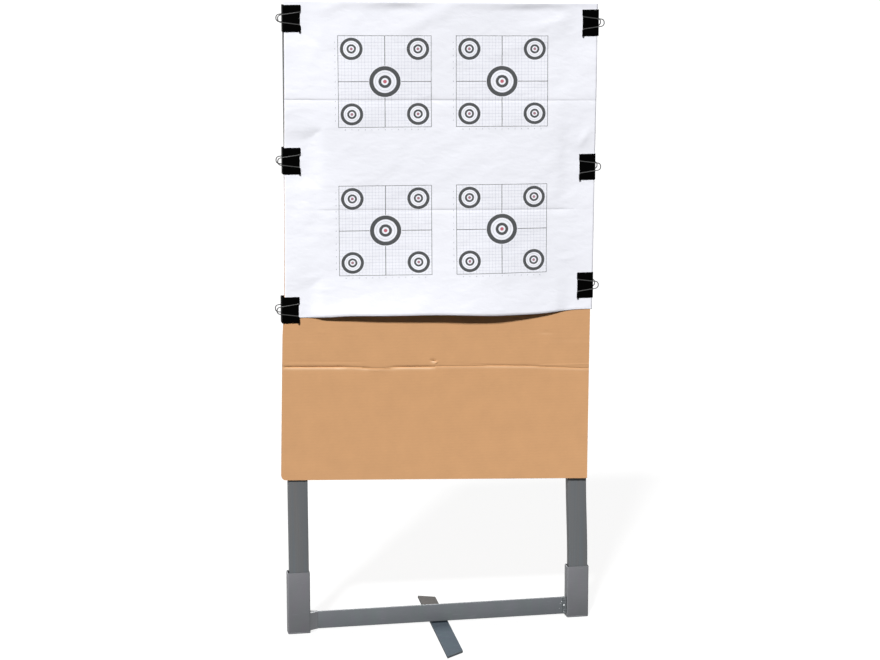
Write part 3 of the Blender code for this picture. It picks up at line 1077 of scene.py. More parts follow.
@dataclass
class SteelBase:
    """The welded base: two sockets, their floor plates, the crossbar, the foot bar and the welds."""

    wall: float = 1.5 * MM
    corner: float = 3.0 * MM
    corner_facets: int = 6
    rim: float = 0.35 * MM
    bar_edge: float = 0.8 * MM
    foot_turn: float = math.radians(-1.9)
    foot_front_mitre: float = 30 * MM
    foot_back_mitre: float = 13 * MM
    foot_ahead: float = 214.7 * MM
    foot_behind: float = 172.8 * MM
    near: float = 0.1 * MM
    bend_reach: Pair = (16 * MM, 7 * MM)
    radial: float = 0.55
    weld_nodes: tuple[str, ...] = (
        "weld_left_front", "weld_left_rear", "weld_right_front", "weld_right_rear", "weld_foot_rear")
    socket_paint: Finish = SteelPaint("sprayed_socket_paint", "#66676A", 0.5)
    bar_paint: Finish = SteelPaint("sprayed_bar_paint", "#5F6366", 0.6)
    # Darker and bluer than the sockets' paint: painted shade and a painted reflection of sky.
    foot_paint: Finish = GroundPaint("ground_bar_paint", "#485158", 0.8)
    # Lighter than the sockets' paint, to cancel the shade on the fillet's slanted face: painted light.
    ground_weld: Finish = SteelPaint("painted_ground_weld", "#717275", 0.5, edge_wear_and_highlight=0.0)
    weld_paint: Finish = WeldPaint("painted_weld", "#4C5053", 0.65)
    # The spatter drops are coloured near white.
    spatter: Finish = WeldPaint("near_white_spatter", "#E0E2E4", 0.5)

    def build(self) -> None:
        """Make and dress the whole base."""
        socket_paint = self.socket_paint.build()
        bar_paint = self.bar_paint.build()
        weld_paint = self.weld_paint.build()
        ground_weld = self.ground_weld.build()
        for side in Side:
            for node, make in ((f"socket_{side.word}", self.socket),
                               (f"socket_floor_{side.word}", self.floor_plate)):
                piece = make(side)
                mount(piece, socket_paint, "base", "steel_paint", node)
        crossbar = rolled_bar("crossbar_rolled", *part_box("crossbar"), self.bar_edge)
        mount(crossbar, bar_paint, "base", "steel_paint", "crossbar")
        foot = self.foot_bar()
        mount(foot, self.foot_paint.build(), "base", "steel_paint", "foot_bar")
        welds = WeldBeads()
        for node in self.weld_nodes:
            ground = "left" in node
            bead = welds.fillet(node) if ground else welds.bead(node)
            mount(bead, ground_weld if ground else weld_paint, "base", "weld", node)
        spatter = welds.spatter()
        mount(spatter, self.spatter.build(), "base", "weld")

    def socket(self, side: Side) -> Object:
        """Make one tube: a block with rounded corners, bored out, its rims broken.

        Args:
            side: which socket.

        Returns:
            The tube, its bore marked.
        """
        low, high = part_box(f"socket_{side.word}")
        middle = (low + high) / 2
        tube = block(f"socket_{side.word}_tube", middle, high - low)
        with editing(tube, Domain.EDGE):
            self.round_corners(tube)
            pick(tube, Domain.FACE, lambda _, normal: abs(normal.z) > ALIGNED)
            bpy.ops.mesh.inset(thickness=self.wall, use_even_offset=True)
            bpy.ops.mesh.bridge_edge_loops()
            pick(tube, Domain.EDGE, lambda at, way: (
                abs(way.z) < 1 - ALIGNED and min(at.z - low.z, high.z - at.z) < self.near
                and not self.is_radial(at, way, middle)))
            bpy.ops.mesh.bevel(offset=self.rim, segments=2, affect="EDGES")
            bpy.ops.mesh.select_all(action="SELECT")
            bpy.ops.mesh.normals_make_consistent(inside=False)
        self.mark_bore(tube, middle, (high - low) / 2)
        soften(tube)
        return tube

    def round_corners(self, piece: Object) -> None:
        """Round the four upright edges of a block in edit mode."""
        pick(piece, Domain.EDGE, lambda _, way: abs(way.z) > ALIGNED)
        bpy.ops.mesh.bevel(offset=self.corner, segments=self.corner_facets, affect="EDGES")

    def mark_bore(self, tube: Object, middle: Vector, half: Vector) -> None:
        """Mark the points inside a tube, which are painted nearly black as bare steel and as painted shade.

        Args:
            tube: the tube.
            middle: its middle.
            half: half its size each way.
        """
        inner = half - Vector((self.wall, self.wall, 0)) + Vector((self.near, self.near, -self.near))
        mark_points(tube, BORE, [all(abs(vertex.co[axis] - middle[axis]) < inner[axis] for axis in range(3))
                                 for vertex in tube.data.vertices])

    def is_radial(self, at: Vector, way: Vector, middle: Vector) -> bool:
        """Tell an edge across a tube's wall from one that runs round the tube.

        Args:
            at: the edge's middle.
            way: its direction.
            middle: the tube's middle.

        Returns:
            True for an edge across the wall, which only the tube's corners have.
        """
        out = Vector((at.x - middle.x, at.y - middle.y, 0))
        near_corner = abs(out.x) > self.bend_reach[0] and abs(out.y) > self.bend_reach[1]
        return near_corner and abs(way.x * out.y - way.y * out.x) < self.radial * out.length

    def floor_plate(self, side: Side) -> Object:
        """Make the plate that closes a tube's foot.

        Args:
            side: which socket's plate.

        Returns:
            The plate.
        """
        low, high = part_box(f"socket_floor_{side.word}")
        plate = block(f"socket_{side.word}_plate", (low + high) / 2, high - low)
        with editing(plate, Domain.EDGE):
            self.round_corners(plate)
            pick(plate, Domain.EDGE, lambda _, way: abs(way.z) < 1 - ALIGNED)
            bpy.ops.mesh.bevel(offset=self.bar_edge, segments=3, affect="EDGES")
        soften(plate)
        return plate

    def foot_bar(self) -> Object:
        """Make the foot bar: a flat bar, its ends cut on a slant, turned a little on the ground.

        Returns:
            The bar, as wide as the crossbar is tall.
        """
        bar_low, bar_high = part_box("crossbar")
        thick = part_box("foot_bar")[1].z
        half = (bar_high.z - bar_low.z) / 2
        low = Vector((-half, -self.foot_ahead, 0))
        high = Vector((half, self.foot_behind, thick))
        foot = block("foot_bar_rolled", (low + high) / 2, high - low)
        with editing(foot):
            for end, mitre in zip(Face, (self.foot_front_mitre, self.foot_back_mitre)):
                pick(foot, Domain.VERTEX, lambda at, _, end=end: at.x > 0 and at.y * end.value > 0)
                bpy.ops.transform.translate(value=(0, -end.value * mitre, 0))
            bpy.ops.mesh.select_all(action="SELECT")
            bpy.ops.mesh.bevel(offset=self.bar_edge, segments=3, affect="EDGES")
        foot.rotation_euler.z = self.foot_turn
        settle(foot)
        soften(foot)
        return foot


@dataclass
class WeldBeads:
    """Hand-laid fillet welds in the corner of two faces: rippled, or ground smooth, with spatter near."""

    ripple: float = 3.4 * MM
    ripple_overlap: float = 0.95
    swells: Pair = (0.98, 0.92)
    wander: float = 0.6 * MM
    wander_pace: float = 0.71
    wander_spread: float = 9
    voxel: float = 0.35 * MM
    run: float = 7 * MM
    build_up: float = 4.9 * MM
    seat: float = 3.2 * MM
    root: float = 1.2 * MM
    over_top: float = 1 * MM
    hollow_percent: float = 94
    hollow_profile: float = 0.22
    drops: tuple[Triple, ...] = (
        (4.5, 24.5, 1.8), (4.5, 11.0, 0.8), (8.5, 31.0, 0.9), (13.0, 17.0, 0.6), (11.0, 27.0, 0.5))
    drop_shape: Triple = (1, 0.7, 1)

    def fillet(self, node: str) -> Object:
        """Model a weld that was ground to a smooth hollow fillet.

        Args:
            node: the CAD node whose space the fillet fills.

        Returns:
            The fillet.
        """
        low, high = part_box(node)
        inward = self.corner_of(node, low, high)
        outward = low + high - inward
        way_in = math.copysign(1, inward.x - outward.x)
        wall = inward.x + way_in * self.root
        inward.x += way_in * self.seat
        outward.x += math.copysign(self.run, outward.x - inward.x)
        outward.y += math.copysign(self.build_up, outward.y - inward.y)
        size = Vector(
            (abs(outward.x - inward.x), abs(outward.y - inward.y), high.z - low.z + 2 * self.over_top))
        fillet = block(f"{node}_fillet", (inward + outward) / 2, size)
        with editing(fillet, Domain.EDGE):
            pick(fillet, Domain.EDGE,
                 lambda at, way: abs(at.x - outward.x) < MM and abs(at.y - outward.y) < MM)
            bpy.ops.mesh.bevel(offset_type="PERCENT", offset_pct=self.hollow_percent, segments=8,
                               profile=self.hollow_profile)
            bpy.ops.mesh.select_all(action="SELECT")
            bpy.ops.mesh.bisect(
                plane_co=(wall, 0, 0), plane_no=(way_in, 0, 0), use_fill=True, clear_outer=True)
        soften(fillet, math.radians(40))
        return fillet

    def bead(self, node: str) -> Object:
        """Lay ripples along a weld's space and melt them together.

        Args:
            node: the CAD node whose space the bead fills.

        Returns:
            The bead.
        """
        low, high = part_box(node)
        size = high - low
        along = 2 if size.z > size.x else 0
        steps = round(size[along] / self.ripple)
        inward = self.corner_of(node, low, high)
        ripples = []
        for step in range(steps):
            spot = (step * self.wander_pace, *(low.xy * self.wander_spread))
            wobble = noise.noise_vector(spot) * self.wander
            place = inward + wobble / 2
            place[along] = low[along] + size[along] * (step + 0.5) / steps + wobble[along] / 2
            reach = size.copy()
            reach[along] = self.ripple * self.ripple_overlap
            ripples.append(add_primitive(Primitive.SPHERE, f"{node}_ripple", segments=20, ring_count=12,
                                         radius=1.0, location=place, scale=reach * self.swells[step % 2]))
        bead = join(ripples, f"{node}_bead")
        settle(bead)
        apply_modifier(bead, "REMESH", mode="VOXEL", voxel_size=self.voxel)
        self.trim(bead, low, high)
        apply_modifier(bead, "SMOOTH", factor=0.5, iterations=8)
        soften(bead, math.radians(60))
        return bead

    def corner_of(self, node: str, low: Vector, high: Vector) -> Vector:
        """Find the line along which a weld's two faces meet.

        Args:
            node: the weld's CAD node.
            low: the lowest corner of its space.
            high: the highest corner of its space.

        Returns:
            The middle of that line.
        """
        if node == "weld_foot_rear":
            return Vector(((low.x + high.x) / 2, low.y, low.z))
        inner_x = low.x if "left" in node else high.x
        inner_y = high.y if "front" in node else low.y
        return Vector((inner_x, inner_y, (low.z + high.z) / 2))

    def trim(self, bead: Object, low: Vector, high: Vector) -> None:
        """Cut a bead back to its space with flat faces.

        Args:
            bead: the bead.
            low: the lowest corner of its space.
            high: the highest corner of its space.
        """
        with editing(bead):
            for axis in range(3):
                for limit, sign in ((low, -1), (high, 1)):
                    plane = Vector((0, 0, 0))
                    plane[axis] = sign
                    bpy.ops.mesh.select_all(action="SELECT")
                    bpy.ops.mesh.bisect(plane_co=limit, plane_no=plane, use_fill=True, clear_outer=True)

    def spatter(self) -> Object:
        """Set frozen drops of metal on the crossbar and the weld at its right end.

        Each drop is given by how far it lies inside the crossbar's end, its height and its radius, in
        millimetres.

        Returns:
            The drops as one piece.
        """
        bar_low, bar_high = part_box("crossbar")
        weld_low, weld_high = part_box("weld_right_front")
        drops = []
        for inset, height, radius in self.drops:
            x = bar_high.x - inset * MM
            share = min(max((weld_high.x - x) / (weld_high.x - weld_low.x), 0), 1)
            depth = bar_low.y - math.sqrt(1 - share ** 2) * (weld_high.y - weld_low.y)
            drops.append(add_primitive(Primitive.SPHERE, "drop", segments=12, ring_count=8,
                                       radius=radius * MM, location=(x, depth, height * MM),
                                       scale=self.drop_shape))
        spatter = join(drops, "weld_spatter")
        settle(spatter)
        soften(spatter, math.radians(60))
        return spatter


def smooth_curve(at: Array, places: Sequence[float], values: Array) -> Array:
    """Return the height at each place of a smooth curve through some points.

    Args:
        at: where to read the curve.
        places: where its points lie, in rising order.
        values: the points' heights.

    Returns:
        The heights; past either end the curve keeps its last height.
    """
    stops, heights = np.asarray(places, dtype=float), np.asarray(values, dtype=float)
    slopes = np.gradient(heights, stops)
    inside = np.clip(at, stops[0], stops[-1])
    left = np.clip(np.searchsorted(stops, inside) - 1, 0, len(stops) - 2)
    span = stops[left + 1] - stops[left]
    t = (inside - stops[left]) / span
    rise = t * t * (3 - 2 * t)
    bend = t * (1 - t)
    ends = heights[left] * (1 - rise) + heights[left + 1] * rise
    return ends + bend * span * ((1 - t) * slopes[left] - t * slopes[left + 1])


@dataclass
class Uprights:
    """The two laths that stand in the sockets, each bowed a little as cheap laths are.

    They lean on the right side of their sockets, so that a dark gap shows on the left.
    """

    edge: float = 1.2 * MM
    warp: float = 0.12 * MM
    warp_pace: Triple = (40, 40, 9)
    cuts: int = 60
    bow_heights: Row = (3, 108, 290, 450, 600)
    bow_left: Row = (0, 0.6, -0.1, 0, 0)
    bow_right: Row = (0.4, 1.8, -2.8, -1.6, 0)
    paint: Finish = PaintedPine("painted_pine", "#5C5E60", 0.65)

    def build(self) -> None:
        """Make and dress both laths."""
        material = self.paint.build()
        for side in Side:
            node = f"upright_{side.word}"
            lath = rolled_bar(f"{node}_lath", *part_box(node), self.edge)
            self.roughen(lath, side)
            mount(lath, material, "panel", "lath_paint", node)

    def roughen(self, lath: Object, side: Side) -> None:
        """Cut a lath into short lengths, let its faces wander as planed wood does and bow it.

        Args:
            lath: the lath.
            side: which lath.
        """
        low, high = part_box(f"upright_{side.word}")
        with editing(lath):
            for cut in range(1, self.cuts):
                level = low.z + (high.z - low.z) * cut / self.cuts
                bpy.ops.mesh.select_all(action="SELECT")
                bpy.ops.mesh.bisect(plane_co=(0, 0, level), plane_no=(0, 0, 1))
        middle = (low + high) / 2
        for vertex in lath.data.vertices:
            spot = [vertex.co[axis] * self.warp_pace[axis] for axis in range(3)]
            pull = noise.noise_vector((spot[0], spot[1], spot[2] + side.value))
            inward = Vector((middle.x - vertex.co.x, middle.y - vertex.co.y, 0)).normalized()
            vertex.co += inward * self.warp * abs(pull.x)
        bow = self.bow_left if side is Side.LEFT else self.bow_right
        heights = np.array([vertex.co.z / MM for vertex in lath.data.vertices])
        for vertex, sway in zip(lath.data.vertices, smooth_curve(heights, self.bow_heights, bow)):
            vertex.co.x += float(sway) * MM
        soften(lath)


@dataclass(frozen=True)
class Hang:
    """How the board hangs: where its middle lies and how far it is turned in its own plane."""

    height: float = 933.5 * MM
    rise: float = 12 * MM
    shift: float = -1.4 * MM
    turn: float = math.radians(0.95)

    @property
    def middle(self) -> float:
        """The height of the board's middle above the ground."""
        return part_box("upright_left")[1].z + self.rise - self.height / 2

    def place(self, across: Array, depth: Array, up: Array) -> Array:
        """Take points from the board's frame to the stand's.

        Args:
            across: how far right of the board's middle.
            depth: the y of each point.
            up: how far above the board's middle.

        Returns:
            One row of x, y and z for each point.
        """
        x = self.shift + across * math.cos(self.turn) + up * math.sin(self.turn)
        z = self.middle + up * math.cos(self.turn) - across * math.sin(self.turn)
        return np.stack([x, depth, z], axis=-1)


@dataclass(frozen=True)
class Mark:
    """A fold, score or dent that runs from one point to another in a flat sheet's own metres.

    Positive height stands out towards the viewer. A sharp mark is a crease, and a soft one a roll.
    """

    start: Pair
    end: Pair
    height: float
    width: float
    sharp: bool = False
    taper: float = 0.35
    fade: float = 1.5
    end_share: float = 0.45

    def relief(self, across: Array, up: Array) -> Array:
        """Work out how far the mark lifts each point, fading past both of its ends.

        Args:
            across: how far right each point lies.
            up: how far up each point lies.

        Returns:
            The points' heights.
        """
        ax, ay = self.start
        bx, by = self.end
        length = math.hypot(bx - ax, by - ay)
        ux, uy = (bx - ax) / length, (by - ay) / length
        along = (across - ax) * ux + (up - ay) * uy
        off = np.abs((up - ay) * ux - (across - ax) * uy)
        past = np.maximum(np.maximum(-along, along - length), 0)
        fade = np.exp(-((past / (self.fade * self.width)) ** 2))
        inner = np.clip(np.minimum(along, length - along) / (self.taper * length), 0, 1)
        swell = self.end_share + (1 - self.end_share) * inner
        spread = (off / self.width) ** (1 if self.sharp else 2)
        return self.height * np.exp(-spread) * fade * swell


@dataclass(frozen=True)
class Fold:
    """A fold once pressed flat across the whole sheet: a valley, steep above its line.

    The drop is the line's at the sheet's middle, and the fall is how far it drops on its way right.
    """

    drop: float
    fall: float
    places: Row
    strengths: Row
    depth: float = 1.0 * MM
    above: float = 1.9 * MM
    below: float = 7.0 * MM

    def relief(self, across: Array, drop: Array) -> Array:
        """Work out how far the fold lowers each point towards the board.

        Args:
            across: how far right each point lies.
            drop: how far down each point lies.

        Returns:
            The points' heights, which are negative.
        """
        off = drop - self.drop - across * self.fall
        width = np.where(off < 0, self.above, self.below)
        strength = np.interp(across, [place * MM for place in self.places], self.strengths)
        return -self.depth * strength * np.exp(-np.abs(off) / width)


@dataclass
class Backer:
    """The corrugated backer: a front liner, the fluted medium and a back liner."""

    hang: Hang
    slant: float = math.radians(1.35)
    crease_height: float = 227 * MM
    liner: float = 0.3 * MM
    pitch: float = 6.1 * MM
    column: float = 9 * MM
    row: float = 3.0 * MM
    fine_row: float = 0.4 * MM
    fine_reach: float = 16 * MM
    worn_corner: float = 9 * MM
    worn_columns: int = 6
    lip_drop: float = 3.2 * MM
    lip_depth: float = 3.0 * MM
    edge_drops: Row = (0, 580, 640, 700, 800, 933)
    edge_left: Row = (0, 2.6, -0.2, -0.6, -1.1, -1.6)
    edge_right: Row = (-2.5, 0, 0.3, 0.8, 1.6, 2.5)
    warp: float = 3.0 * MM
    warp_power: float = 1.5
    crease_taper: float = 0.1
    dense: Triple = (-20 * MM, 6 * MM, 1.0 * MM)
    floor_share: float = 0.6
    wave_steps: int = 8
    wave_columns: int = 17
    wave_inset: float = 0.4 * MM
    wave_below: float = 20 * MM
    medium_share: float = 0.6
    kraft: Finish = KraftLiner("kraft_liner", "#CC9B6D", 0.85)
    medium: Finish = KraftLiner("fluted_medium", "#B98A5C", 0.9)

    def build(self) -> None:
        """Make and dress the board's three layers."""
        kraft = self.kraft.build()
        low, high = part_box("backer_board")
        front = self.liner_sheet("backer_front_liner", low.y + self.liner / 2, Face.FRONT)
        mount(front, kraft, "panel", "cardboard", "backer_board")
        back = self.liner_sheet("backer_back_liner", high.y - self.liner / 2, Face.REAR)
        mount(back, kraft, "panel", "cardboard")
        flutes = self.flutes(low.y + self.liner, high.y - self.liner)
        mount(flutes, self.medium.build(), "panel", "cardboard")

    @property
    def half_width(self) -> float:
        """Half the board's width, which is the base's over its sockets."""
        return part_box("socket_right")[1].x

    def foot(self, across: Array) -> Array:
        """Work out where the board's slanting foot lies, rounded at its worn corner.

        Args:
            across: how far right of the board's middle.

        Returns:
            The foot's places above the board's middle, which are negative.
        """
        worn = np.clip(across + self.half_width, 0, self.worn_corner)
        rounded = self.worn_corner - np.sqrt(np.clip(
            self.worn_corner ** 2 - (self.worn_corner - worn) ** 2, 0, None))
        return -self.hang.height / 2 - across * math.tan(self.slant) + rounded

    def place(self, across: Array, depth: Array, up: Array) -> Array:
        """Take points of the flat board to the stand: its knife-cut sides wander, its foot warps forward.

        Args:
            across: how far right of the board's middle.
            depth: the y of each point.
            up: how far above the board's middle.

        Returns:
            One row of x, y and z for each point.
        """
        drop = (self.hang.height / 2 - up) / MM
        share = 0.5 + across / (2 * self.half_width)
        left = np.interp(drop, self.edge_drops, self.edge_left) * MM
        right = np.interp(drop, self.edge_drops, self.edge_right) * MM
        below = np.clip(1 - (up + self.hang.height / 2) / self.crease_height, 0, 1)
        bent = self.warp * below ** self.warp_power * np.clip(share, 0, 1) ** 2
        return self.hang.place(across + left + (right - left) * share, depth - bent, up)

    def marks(self) -> list[Mark]:
        """List the score across the board, its branches and the knocks near it.

        Returns:
            The marks, in the board's own metres from its middle.
        """
        level = self.crease_height - self.hang.height / 2
        fall = math.tan(self.slant)

        def at(across: float, above: float = 0.0) -> Pair:
            """Return the board's own place of a spot across it and above the score, in mm."""
            return across * MM, level + above * MM - across * MM * fall

        def crease(start: Pair, end: Pair, height: float,
                   width: float) -> Mark:
            """Return a sharp mark that keeps its height nearly to its ends, its sizes in mm."""
            return Mark(start, end, height * MM, width * MM, True, self.crease_taper)

        return [
            crease(at(-305, -2), at(-185, -1.5), -2.3, 1.5),
            crease(at(-200, -1), at(-135, -3), -1.5, 1.6),
            crease(at(-150, -4), at(-85, -4.5), -0.8, 1.1),
            crease(at(-92, -1.5), at(-6, -1), -2.5, 1.5),
            crease(at(-6, 0), at(100, 1), -0.9, 1.2),
            crease(at(95, 1.8), at(200, 1), -1.35, 1.4),
            crease(at(196, 0), at(305, -4), -1.0, 1.3),
            crease(at(200, 2), at(305, 5), 0.3, 1.1),
            crease(at(20, 6), at(140, 3), -0.2, 1.0),
            crease(at(-300, 9), at(-150, 9), -0.25, 1.1),
            crease(at(-300, 51), at(-235, 52), -0.22, 1.0),
            crease(at(225, 53), at(305, 54), -0.2, 1.1),
            crease(at(205, 69), at(230, 68), -0.5, 1.2),
            Mark(at(-127, -9), at(-118, -8), 0.7 * MM, 1.3 * MM),
            Mark(at(-238, 68), at(-218, 67), 0.5 * MM, 1.4 * MM),
            Mark(at(-180, 63), at(-164, 62), 0.45 * MM, 1.4 * MM),
            Mark(at(118, 72), at(130, 71), -0.35 * MM, 1.5 * MM),
            Mark(at(-12.5, 12.2), at(-5, 11.4), -3.0 * MM, 1.6 * MM, True),
            Mark(at(-5, 6), at(-1, 8.5), 1.0 * MM, 1.6 * MM),
        ]

    def relief(self, across: Array, up: Array) -> Array:
        """Return how far the score and the knocks lift the front liner."""
        return sum(mark.relief(across, up) for mark in self.marks())

    def scuffs(self, across: Array, up: Array) -> Array:
        """Work out how far the lower lip of each score is paled, as a rub and as a painted highlight.

        Args:
            across: how far right each point lies.
            up: how far up each point lies.

        Returns:
            The points' shares, from 0 to 1.
        """
        scores = [mark for mark in self.marks() if mark.sharp]
        lip = sum(-mark.relief(across, up + self.lip_drop) for mark in scores)
        floor = sum(-mark.relief(across, up) for mark in scores)
        return np.clip((lip - self.floor_share * floor) / self.lip_depth, 0, 1)

    def liner_sheet(self, name: str, depth: float, face: Face) -> Object:
        """Make one liner, and on the front its score and knocks.

        Args:
            name: the piece's name.
            depth: the y of its middle.
            face: which face of the board it covers.

        Returns:
            The liner, mapped in metres.
        """
        half = self.half_width
        columns = self.columns(-half, half)
        top = self.hang.height / 2
        even = np.linspace(0, self.hang.height, int(self.hang.height / self.row) + 1)
        close = self.crease_height + np.arange(-self.fine_reach, self.fine_reach, self.fine_row)
        rows = np.unique(np.round(np.concatenate([even, close]), DIGITS))
        share = rows[:, None] / self.hang.height
        across = np.repeat(columns[None, :], len(share), axis=0)
        foot = self.foot(columns)[None, :]
        up = foot + (top - foot) * share
        in_front = face is Face.FRONT
        board = self.relief(across, up) if in_front else np.zeros(up.shape)
        points = self.place(across, depth + face.value * board, up).reshape(-1, 3)
        faces = grid_faces(len(share), len(columns))
        if in_front:
            faces = [corners[::-1] for corners in faces]
        liner = mesh_piece(name, points, faces)
        map_flat(liner, across, up)
        mark_points(liner, SCUFF_HIGHLIGHT, self.scuffs(across, up) if in_front else np.zeros(up.shape))
        apply_modifier(liner, "SOLIDIFY", thickness=self.liner, offset=0.0)
        soften(liner, math.radians(60))
        return liner

    def columns(self, start: float, end: float) -> Array:
        """Place a liner's columns, closer together at the worn corner and round the torn spot.

        Args:
            start: the board's left side.
            end: its right side.

        Returns:
            The columns' places across the board.
        """
        coarse = np.linspace(start, end, int((end - start) / self.column) + 1)
        worn = start + np.linspace(0, self.worn_corner, self.worn_columns)
        return np.unique(np.round(np.concatenate([coarse, worn, np.arange(*self.dense)]), DIGITS))

    def flutes(self, front: float, back: float) -> Object:
        """Make the waved medium that shows at the board's two open edges.

        Args:
            front: the y of the front liner's inner face.
            back: the y of the back liner's inner face.

        Returns:
            The medium, which gives way behind the score.
        """
        top = self.hang.height / 2
        lowest = self.foot(np.array([-self.half_width]))[0] - self.wave_below
        up = np.arange(lowest, top, self.pitch / self.wave_steps)
        middle = (front + back) / 2
        swing = (back - front) / 2 - self.liner / 2
        edges = np.array([-1.0, 1.0]) * (self.half_width - self.wave_inset)
        columns = np.linspace(edges[0], edges[1], self.wave_columns)
        across = np.repeat(columns[None, :], len(up), axis=0)
        level = np.repeat(up[:, None], len(columns), axis=1)
        depth = middle + swing * np.sin(2 * math.pi * level / self.pitch)
        depth = np.maximum(depth, front + self.liner / 2 - self.relief(across, level))
        points = self.place(across, depth, level).reshape(-1, 3)
        wave = mesh_piece("backer_flutes", points, grid_faces(len(up), len(columns)))
        map_flat(wave, across, level)
        foot_left, foot_right = self.place(edges, np.zeros(2), self.foot(edges))
        run = Vector(foot_right - foot_left)
        with editing(wave):
            bpy.ops.mesh.bisect(plane_co=foot_right, plane_no=(-run.z, 0, run.x), clear_inner=True)
        apply_modifier(wave, "SOLIDIFY", thickness=self.liner * self.medium_share, offset=0.0)
        soften(wave, math.radians(60))
        return wave


@dataclass
class TargetSheet:
    """The paper sheet: folded small once, opened, turned over the board's top and clipped flat."""

    hang: Hang
    width: float = 609.6 * MM
    drop: float = 602 * MM
    hem: float = 24 * MM
    turn_length: float = 4 * MM
    turn_radius: float = 0.35 * MM
    thickness: float = 0.2 * MM
    seat: float = 0.3 * MM
    shift: float = -1.2 * MM
    skew: float = math.radians(0.45)
    grip: float = 33.6 * MM
    upper: Fold = Fold(185.9 * MM, 0.0016, (-305, -215, 0, 130, 240, 305), (1.0, 1.0, 1.05, 0.9, 0.7, 0.45))
    lower: Fold = Fold(
        397.6 * MM, 0.0050, (-305, -250, -200, 0, 234, 270, 305), (0.05, 0.25, 0.8, 1, 0.8, 0.2, 0.05))
    places: Row = (-305, -265, -225, -165, -100, 0, 100, 165, 225, 265, 305)
    stand_offs: tuple[tuple[float, Row], ...] = (
        (0, (0.5, 0.6, 0.6, 0.6, 0.6, 0.6, 0.6, 0.6, 0.6, 0.6, 0.5)),
        (90, (1.5, 2.2, 3.3, 3.7, 3.5, 1.9, 0.8, 0.8, 0.8, 0.8, 1.0)),
        (190, (2.5, 4.4, 6.6, 6.8, 5.0, 3.2, 2.9, 3.0, 3.3, 2.6, 1.6)),
        (310, (0.4, 1.2, 4.9, 6.5, 6.6, 6.0, 5.3, 3.8, 3.0, 0.8, 0.4)),
        (390, (1.5, 3.0, 5.4, 5.9, 6.4, 7.1, 6.8, 4.6, 2.4, 0.8, 0.5)),
        (480, (0.8, 3.2, 5.1, 6.3, 7.0, 10.4, 10.5, 6.0, 2.2, 0.9, 0.5)),
        (560, (0.4, 1.4, 5.5, 8.0, 10.3, 14.8, 15.0, 9.2, 3.4, 0.9, 0.4)),
        (602, (0.4, 2.0, 7.2, 12.4, 14.9, 18.6, 18.0, 12.0, 5.4, 1.6, 0.4)),
    )
    foot_places: Row = (-305, -265, -225, -190, -100, 0, 50, 100, 165, 200, 235, 265, 305)
    foot_drops: Row = (4, 3.6, 3.0, 1.1, 1.1, 0.9, 2.3, 4.1, 3.9, 3.0, 0.2, -2.6, -4.0)
    lip: float = 1.5 * MM
    lip_height: float = 4.5 * MM
    roll: float = 3.2 * MM
    roll_height: float = 9.5 * MM
    roll_places: Row = (-305, -220, -180, -130, -90, -45, 0, 55, 105, 165, 202, 232, 305)
    roll_shares: Row = (0, 0.1, 0.3, 0.75, 1.0, 0.35, 0.05, 0.45, 0.55, 1.0, 0.9, 0.7, 0.3)
    crumple: float = 0.19 * MM
    ripples: tuple[Row, ...] = ((22, 9, 26, 3.1, 2.2), (55, -22, 75, 8.4, 0.6))
    clip_room: Pair = (3 * MM, 4 * MM)
    clip_reach: float = 1.1
    columns: int = 190
    row: float = 3.6 * MM
    hem_rows: int = 8
    hem_start: float = 1.5
    turn_rows: Row = (15, 45, 75)
    top_reach: float = 24 * MM
    top_step: float = 1.5 * MM
    foot_rows: Row = (6, 4.5, 3, 1.5, 0)
    fold_rows: Row = (-6, -4.5, -3, -1.8, -0.9, -0.3, 0.3, 0.9, 1.8, 3, 4.5, 6)
    least_row: float = 0.35 * MM
    counts: range = range(-6, 7)
    number_size: float = 3.4 * MM
    number_left: float = 5.8 * MM
    number_below: float = 4.8 * MM
    number_lift: float = 0.12 * MM
    ink_thickness: float = 0.02 * MM
    paper: Finish = TargetPaper("printed_target_paper", "#F0F1F8", 0.8)
    ink: Finish = Finish("printed_scale_ink", "#6A6D7A", 0.7)

    def build(self) -> None:
        """Make and dress the sheet and the small numbers on its grids."""
        sheet = self.sheet()
        mount(sheet, self.paper.build(), "panel", "paper", "target_sheet")
        numbers = self.numbers()
        mount(numbers, self.ink.build(), "panel", "paper")

    def marks(self) -> list[Mark]:
        """List the soft folds and creases that handling has left.

        Returns:
            The marks, in metres across the sheet and up from its top fold.
        """
        def fold(x0: float, d0: float, x1: float, d1: float, height: float, width: float,
                 sharp: bool = False) -> Mark:
            """Return a mark from one place across and drop to another, in mm."""
            return Mark((x0 * MM, -d0 * MM), (x1 * MM, -d1 * MM), height * MM, width * MM, sharp)

        return [
            fold(5, 12, -85, 60, 1.1, 13),
            fold(150, 12, 235, 4, -0.8, 9),
            fold(-120, 6, -60, 10, -0.7, 8),
            fold(268, 22, 165, 52, 1.2, 10),
            fold(262, 40, 120, 92, 0.7, 14),
            fold(-255, 20, -205, 8, 0.9, 10),
            fold(-240, 70, -262, 130, 0.5, 12),
            fold(291, 245, 268, 282, 1.0, 8),
            fold(250, 225, 246, 312, -0.7, 13),
            fold(-262, 310, -258, 400, 0.9, 11),
            fold(-298, 575, -268, 550, 1.1, 3.2, True),
            fold(-270, 550, -205, 553, 0.8, 3.0, True),
            fold(-270, 608, -80, 606, 1.4, 24),
            fold(-200, 210, -120, 222, 0.3, 10),
            fold(95, 150, 180, 180, 0.3, 12),
        ]

